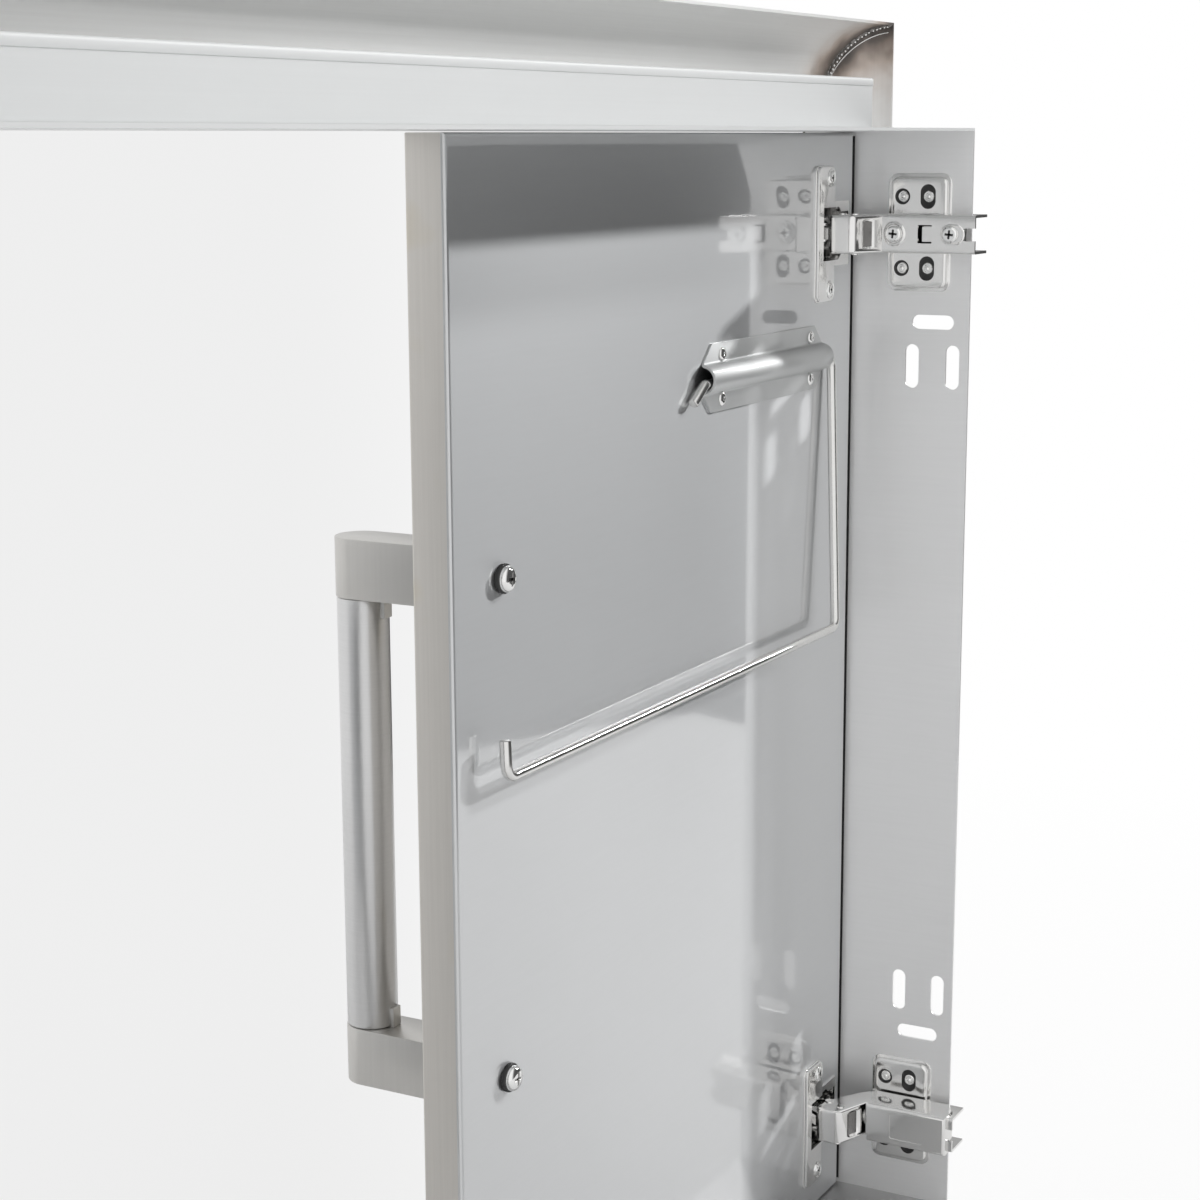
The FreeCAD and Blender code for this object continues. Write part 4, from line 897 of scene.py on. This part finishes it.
onLeaves(handlePosts, "post_bars", "handleBar", ["handle_posts"])
onLeaves(handleTube, "grip_tube", "handleTube", ["handle_tube"])
onLeaves(tubeTabs, "grip_tabs", "handleBar")
onLeaves(handleScrews, "post_screws", "nickelBright", ["handle_screws"])
onLeaves(lambda: crossPlugs(postPlaces(handle["washer"] + handle["screwHead"]), deep, 2.9, 0.56, 1.6),
         "post_screw_recess_shade", "shade")
# the washers are black, and their near-black also paints in the shade round the screw heads
onLeaves(handleWashers, "post_washers", "hollow", ["handle_washers"])
print("handles made")


# Towel holder: a plate whose middle is pressed into a sleeve, rivets, and the bent rod

holder = dict(end=-192.4, length=121.5, middle=461.5, half=14.0, sheet=1.0, cutBack=8.3, sleeve=5.9, rise=0.8,
              firstRivet=-301.1, rivetPitch=90.6, rivetRise=9.1, fold=1.2, edge=0.22)
rod = dict(radius=2.1, tight=4.0, wide=4.5, endRing=0.75, nextRing=0.93, ringRuns=(0.25, 0.45),
           corners=((-180.5, 4.9, 453.04), (-190.4, 5.4, 460.14), (-320.0, 5.4, 460.14), (-318.0, 10.1, 337.64),
                    (-23.6, 10.1, 337.64), (-23.6, 9.57, 351.44)))


def holderPlate():
    # the sheet's section: flat, up and over the sleeve, flat again
    sheet, radius, middle, half, fold = (holder[n] for n in ("sheet", "sleeve", "middle", "half", "fold"))
    back = leaf["back"]
    x, seat = holder["end"] - holder["length"], back + sheet
    # each fold meets the sleeve on a tangent
    rise = holder["rise"] - sheet - fold
    reach = math.sqrt((radius + fold) ** 2 - rise ** 2)
    lean = math.atan2(rise, reach)
    bm = bmesh.new()
    start = bm.verts.new((x, seat, middle - reach))
    linked(bm, [bm.verts.new((x, seat, middle - half)), start])
    for centre, way, angle, steps in (((x, seat + fold, middle - reach), -1, math.pi / 2 + lean, 6),
                                      ((x, back + holder["rise"], middle), 1, math.pi + 2 * lean, 26),
                                      ((x, seat + fold, middle + reach), -1, math.pi / 2 + lean, 6)):
        start = swung(bm, start, centre, (way, 0, 0), angle, steps)
    linked(bm, [start, bm.verts.new((x, seat, middle + half))])
    drawnOut(bm, (holder["length"], 0, 0))
    bm.normal_update()
    if sum(f.normal.y for f in bm.faces if abs(f.normal.y) > 0.99) < 0:
        bmesh.ops.reverse_faces(bm, faces=bm.faces[:])
    bmesh.ops.solidify(bm, geom=bm.faces[:], thickness=sheet)
    cut, y = holder["cutBack"], back - 1
    tools = bmesh.new()
    for side in (1, -1):
        z = middle + side * half
        for tip, way in ((holder["end"], 1), (x, -1)):
            flat(tools, [(tip - way * cut, y, z + side), (tip - way * cut, y, z), (tip, y, z - side * cut),
                         (tip + way, y, z - side * cut), (tip + way, y, z + side)], (0, 4, 0))
    bm = carved(bm, tools)
    softenSharp(bm, holder["edge"])
    return bm


def holderRivets():
    profile = [(-1.8, 0), (-1.8, 1.6), (0.9, 1.6), (0.9, 2.9), (1.2, 3.0), (1.45, 2.8), (1.9, 2.1), (2.05, 1.2),
               (2.0, 0.7), (1.8, 0.45), (1.8, 0)]
    places = [(holder["firstRivet"] + column * holder["rivetPitch"], leaf["back"],
               holder["middle"] + row * holder["rivetRise"]) for column in (0, 1) for row in (1, -1)]
    return turnedAt(places, profile, deep, 36)


def sweptRod():
    # a ring pulled along the straight runs and spun round each bend
    bm = bmesh.new()
    points = [Vector(corner) for corner in rod["corners"]]
    radii = (rod["tight"], rod["tight"], rod["wide"], rod["wide"])
    ending, nearly, (short, long) = rod["endRing"], rod["nextRing"], rod["ringRuns"]
    here, run = points[0], (points[1] - points[0]).normalized()
    aim = Matrix.Translation(here) @ run.to_track_quat("Z", "Y").to_matrix().to_4x4()
    verts = bmesh.ops.create_circle(bm, segments=24, radius=rod["radius"] * ending, matrix=aim)["verts"]
    ring = list({e for v in verts for e in v.link_edges})

    def pull(step, grow=1.0):
        nonlocal ring
        made = bmesh.ops.extrude_edge_only(bm, edges=ring)["geom"]
        verts = vertsOf(made)
        bmesh.ops.translate(bm, vec=step, verts=verts)
        if grow != 1.0:
            middle = sum((v.co for v in verts), Vector()) / len(verts)
            for v in verts:
                v.co = middle + (v.co - middle) * grow
        ring = [e for e in edgesOf(made) if all(v in verts for v in e.verts)]

    first = ring[:]
    pull(run * short, nearly / ending)
    pull(run * long, 1 / nearly)
    here = here + run * (short + long)
    for corner, following, radius in zip(points[1:-1], points[2:], radii):
        into, away = (corner - here).normalized(), (following - corner).normalized()
        turn = into.angle(away)
        back = radius * math.tan(turn / 2)
        pull(corner - into * back - here)
        centre = corner + (away - into).normalized() * (radius / math.cos(turn / 2))
        made = bmesh.ops.spin(bm, geom=list({v for e in ring for v in e.verts}) + ring, cent=centre,
                              axis=into.cross(away).normalized(), angle=turn, steps=10)["geom_last"]
        ring = edgesOf(made)
        here = corner + away * back
    run = (points[-1] - here).normalized()
    pull(points[-1] - here - run * (short + long))
    pull(run * long, nearly)
    pull(run * short, ending / nearly)
    bmesh.ops.holes_fill(bm, edges=first + ring, sides=0)
    return bm


finishPiece(holderPlate(), "holder_plate", "bracket", "left_leaf", ["towel_bracket"])
finishPiece(holderRivets(), "holder_rivets", "nickelBright", "left_leaf", ["towel_rivets"])
finishPiece(sweptRod(), "bent_rod", "rod", "towel_arm", ["towel_arm"])
print("towel holder made")


# Studio: plain pale floor, two small lamps, an even surround, white behind the object, and the eye of the photograph

eye = dict(place=(0.6615, 0.4191, 0.5569), right=(-0.4761, 0.8794, -0.0044), down=(0.1707, 0.0875, -0.9814),
           lens=70.68, sensor=36, nearest=0.01)
studio = dict(floorRadius=1400, floorDrop=0.0005, floor=(0.93, 0.93, 0.93), floorRoughness=0.9, floorGlow=0.8,
              fadeStart=0.5, fadeEnd=1.35, leftGrey=0.86, leftStart=-0.14, leftEnd=0.06, sweep=(1, 1, 1),
              sweepEnd=0.62, room=(0.085, 0.085, 0.085), roomStart=0.88, dimToward=(-0.84, 0.54, -0.05))
# each lamp: where it stands from the middle, its strength, and its width in degrees
lamps = {"key": ((-1.9, 1.0, 0.68), 0.5, 2.4), "second": ((-1.5, 1.0, 1.126), 0.4, 5.0)}


def ranged(tree, value, low, high, first, last=1, **settings):
    values = {"Value": value, "From Min": low, "From Max": high, "To Min": first, "To Max": last}
    return newNode(tree, "ShaderNodeMapRange", values, **settings).outputs["Result"]


def leftward(tree, direction, sign):
    # the backdrop greys a little toward the left of the picture
    side = newNode(tree, "ShaderNodeVectorMath", {0: direction, 1: Vector(eye["right"]) * sign}, operation="DOT_PRODUCT")
    return ranged(tree, side.outputs["Value"], studio["leftStart"], studio["leftEnd"], studio["leftGrey"],
                  interpolation_type="SMOOTHSTEP")


floorMesh = bmesh.new()
bmesh.ops.create_circle(floorMesh, cap_ends=True, segments=96, radius=studio["floorRadius"])
bmesh.ops.scale(floorMesh, vec=[millimetre] * 3, verts=floorMesh.verts[:])
bmesh.ops.translate(floorMesh, vec=(0, 0, -studio["floorDrop"]), verts=floorMesh.verts[:])
floor = asItem(floorMesh, "studio_floor")
floorPaint = bpy.data.materials.new("floorPaint")
floorPaint.use_nodes = True
tree = floorPaint.node_tree
paint = tree.nodes["Principled BSDF"]
feed(tree, paint.inputs["Base Color"], studio["floor"])
feed(tree, paint.inputs["Roughness"], studio["floorRoughness"])
# seen by the camera, the floor fades to the backdrop's white away from the door
incoming = newNode(tree, "ShaderNodeNewGeometry").outputs["Incoming"]
glow = newNode(tree, "ShaderNodeEmission", {"Color": leftward(tree, incoming, -1)})
spot = newNode(tree, "ShaderNodeTexCoord").outputs["Object"]
reach = newNode(tree, "ShaderNodeVectorMath", {0: spot}, operation="LENGTH")
fade = ranged(tree, reach.outputs["Value"], studio["fadeStart"], studio["fadeEnd"], studio["floorGlow"])
cameraRay = newNode(tree, "ShaderNodeLightPath").outputs["Is Camera Ray"]
feed(tree, tree.nodes["Material Output"].inputs["Surface"],
     mixShaders(tree, mathNode(tree, "MULTIPLY", fade, cameraRay), paint, glow))
floor.data.materials.append(floorPaint)

world = bpy.data.worlds.new("studio")
bpy.context.scene.world = world
world.use_nodes = True
sky = world.node_tree
for item in list(sky.nodes):
    sky.nodes.remove(item)
path = newNode(sky, "ShaderNodeLightPath").outputs
aim = newNode(sky, "ShaderNodeTexCoord").outputs["Generated"]
# the white sweep goes round most of the door, and the room is dimmer behind its hinge side
toward = newNode(sky, "ShaderNodeVectorMath", {0: aim, 1: studio["dimToward"]}, operation="DOT_PRODUCT").outputs["Value"]
room = ramped(sky, mathNode(sky, "MULTIPLY", mathNode(sky, "ADD", toward, 1), 0.5),
              ((studio["sweepEnd"], studio["sweep"]), (studio["roomStart"], studio["room"])), interpolation="EASE")
around = newNode(sky, "ShaderNodeBackground", {"Color": room})
white = newNode(sky, "ShaderNodeBackground", {"Color": leftward(sky, aim, 1)})
straight = mathNode(sky, "MAXIMUM", path["Is Camera Ray"], path["Is Transmission Ray"])
newNode(sky, "ShaderNodeOutputWorld", {0: mixShaders(sky, straight, around, white)})

for name, (source, strength, spread) in lamps.items():
    lamp = bpy.data.lights.new(name, "SUN")
    lamp.energy, lamp.angle = strength, math.radians(spread)
    asObject(name, lamp).rotation_euler = Vector(source).to_track_quat("Z", "Y").to_euler()

camera = bpy.data.cameras.new("photo_camera")
camera.lens, camera.sensor_width, camera.sensor_fit = eye["lens"], eye["sensor"], "HORIZONTAL"
camera.clip_start = eye["nearest"]
cameraItem = asObject("photo_camera", camera)
right, upward = Vector(eye["right"]).normalized(), -Vector(eye["down"])
upward = (upward - right * upward.dot(right)).normalized()
axes = Matrix((right, upward, right.cross(upward))).transposed().to_4x4()
cameraItem.matrix_world = Matrix.Translation(eye["place"]) @ axes
bpy.context.scene.camera = cameraItem
bpy.context.scene.view_settings.view_transform = "Standard"
print("studio made")
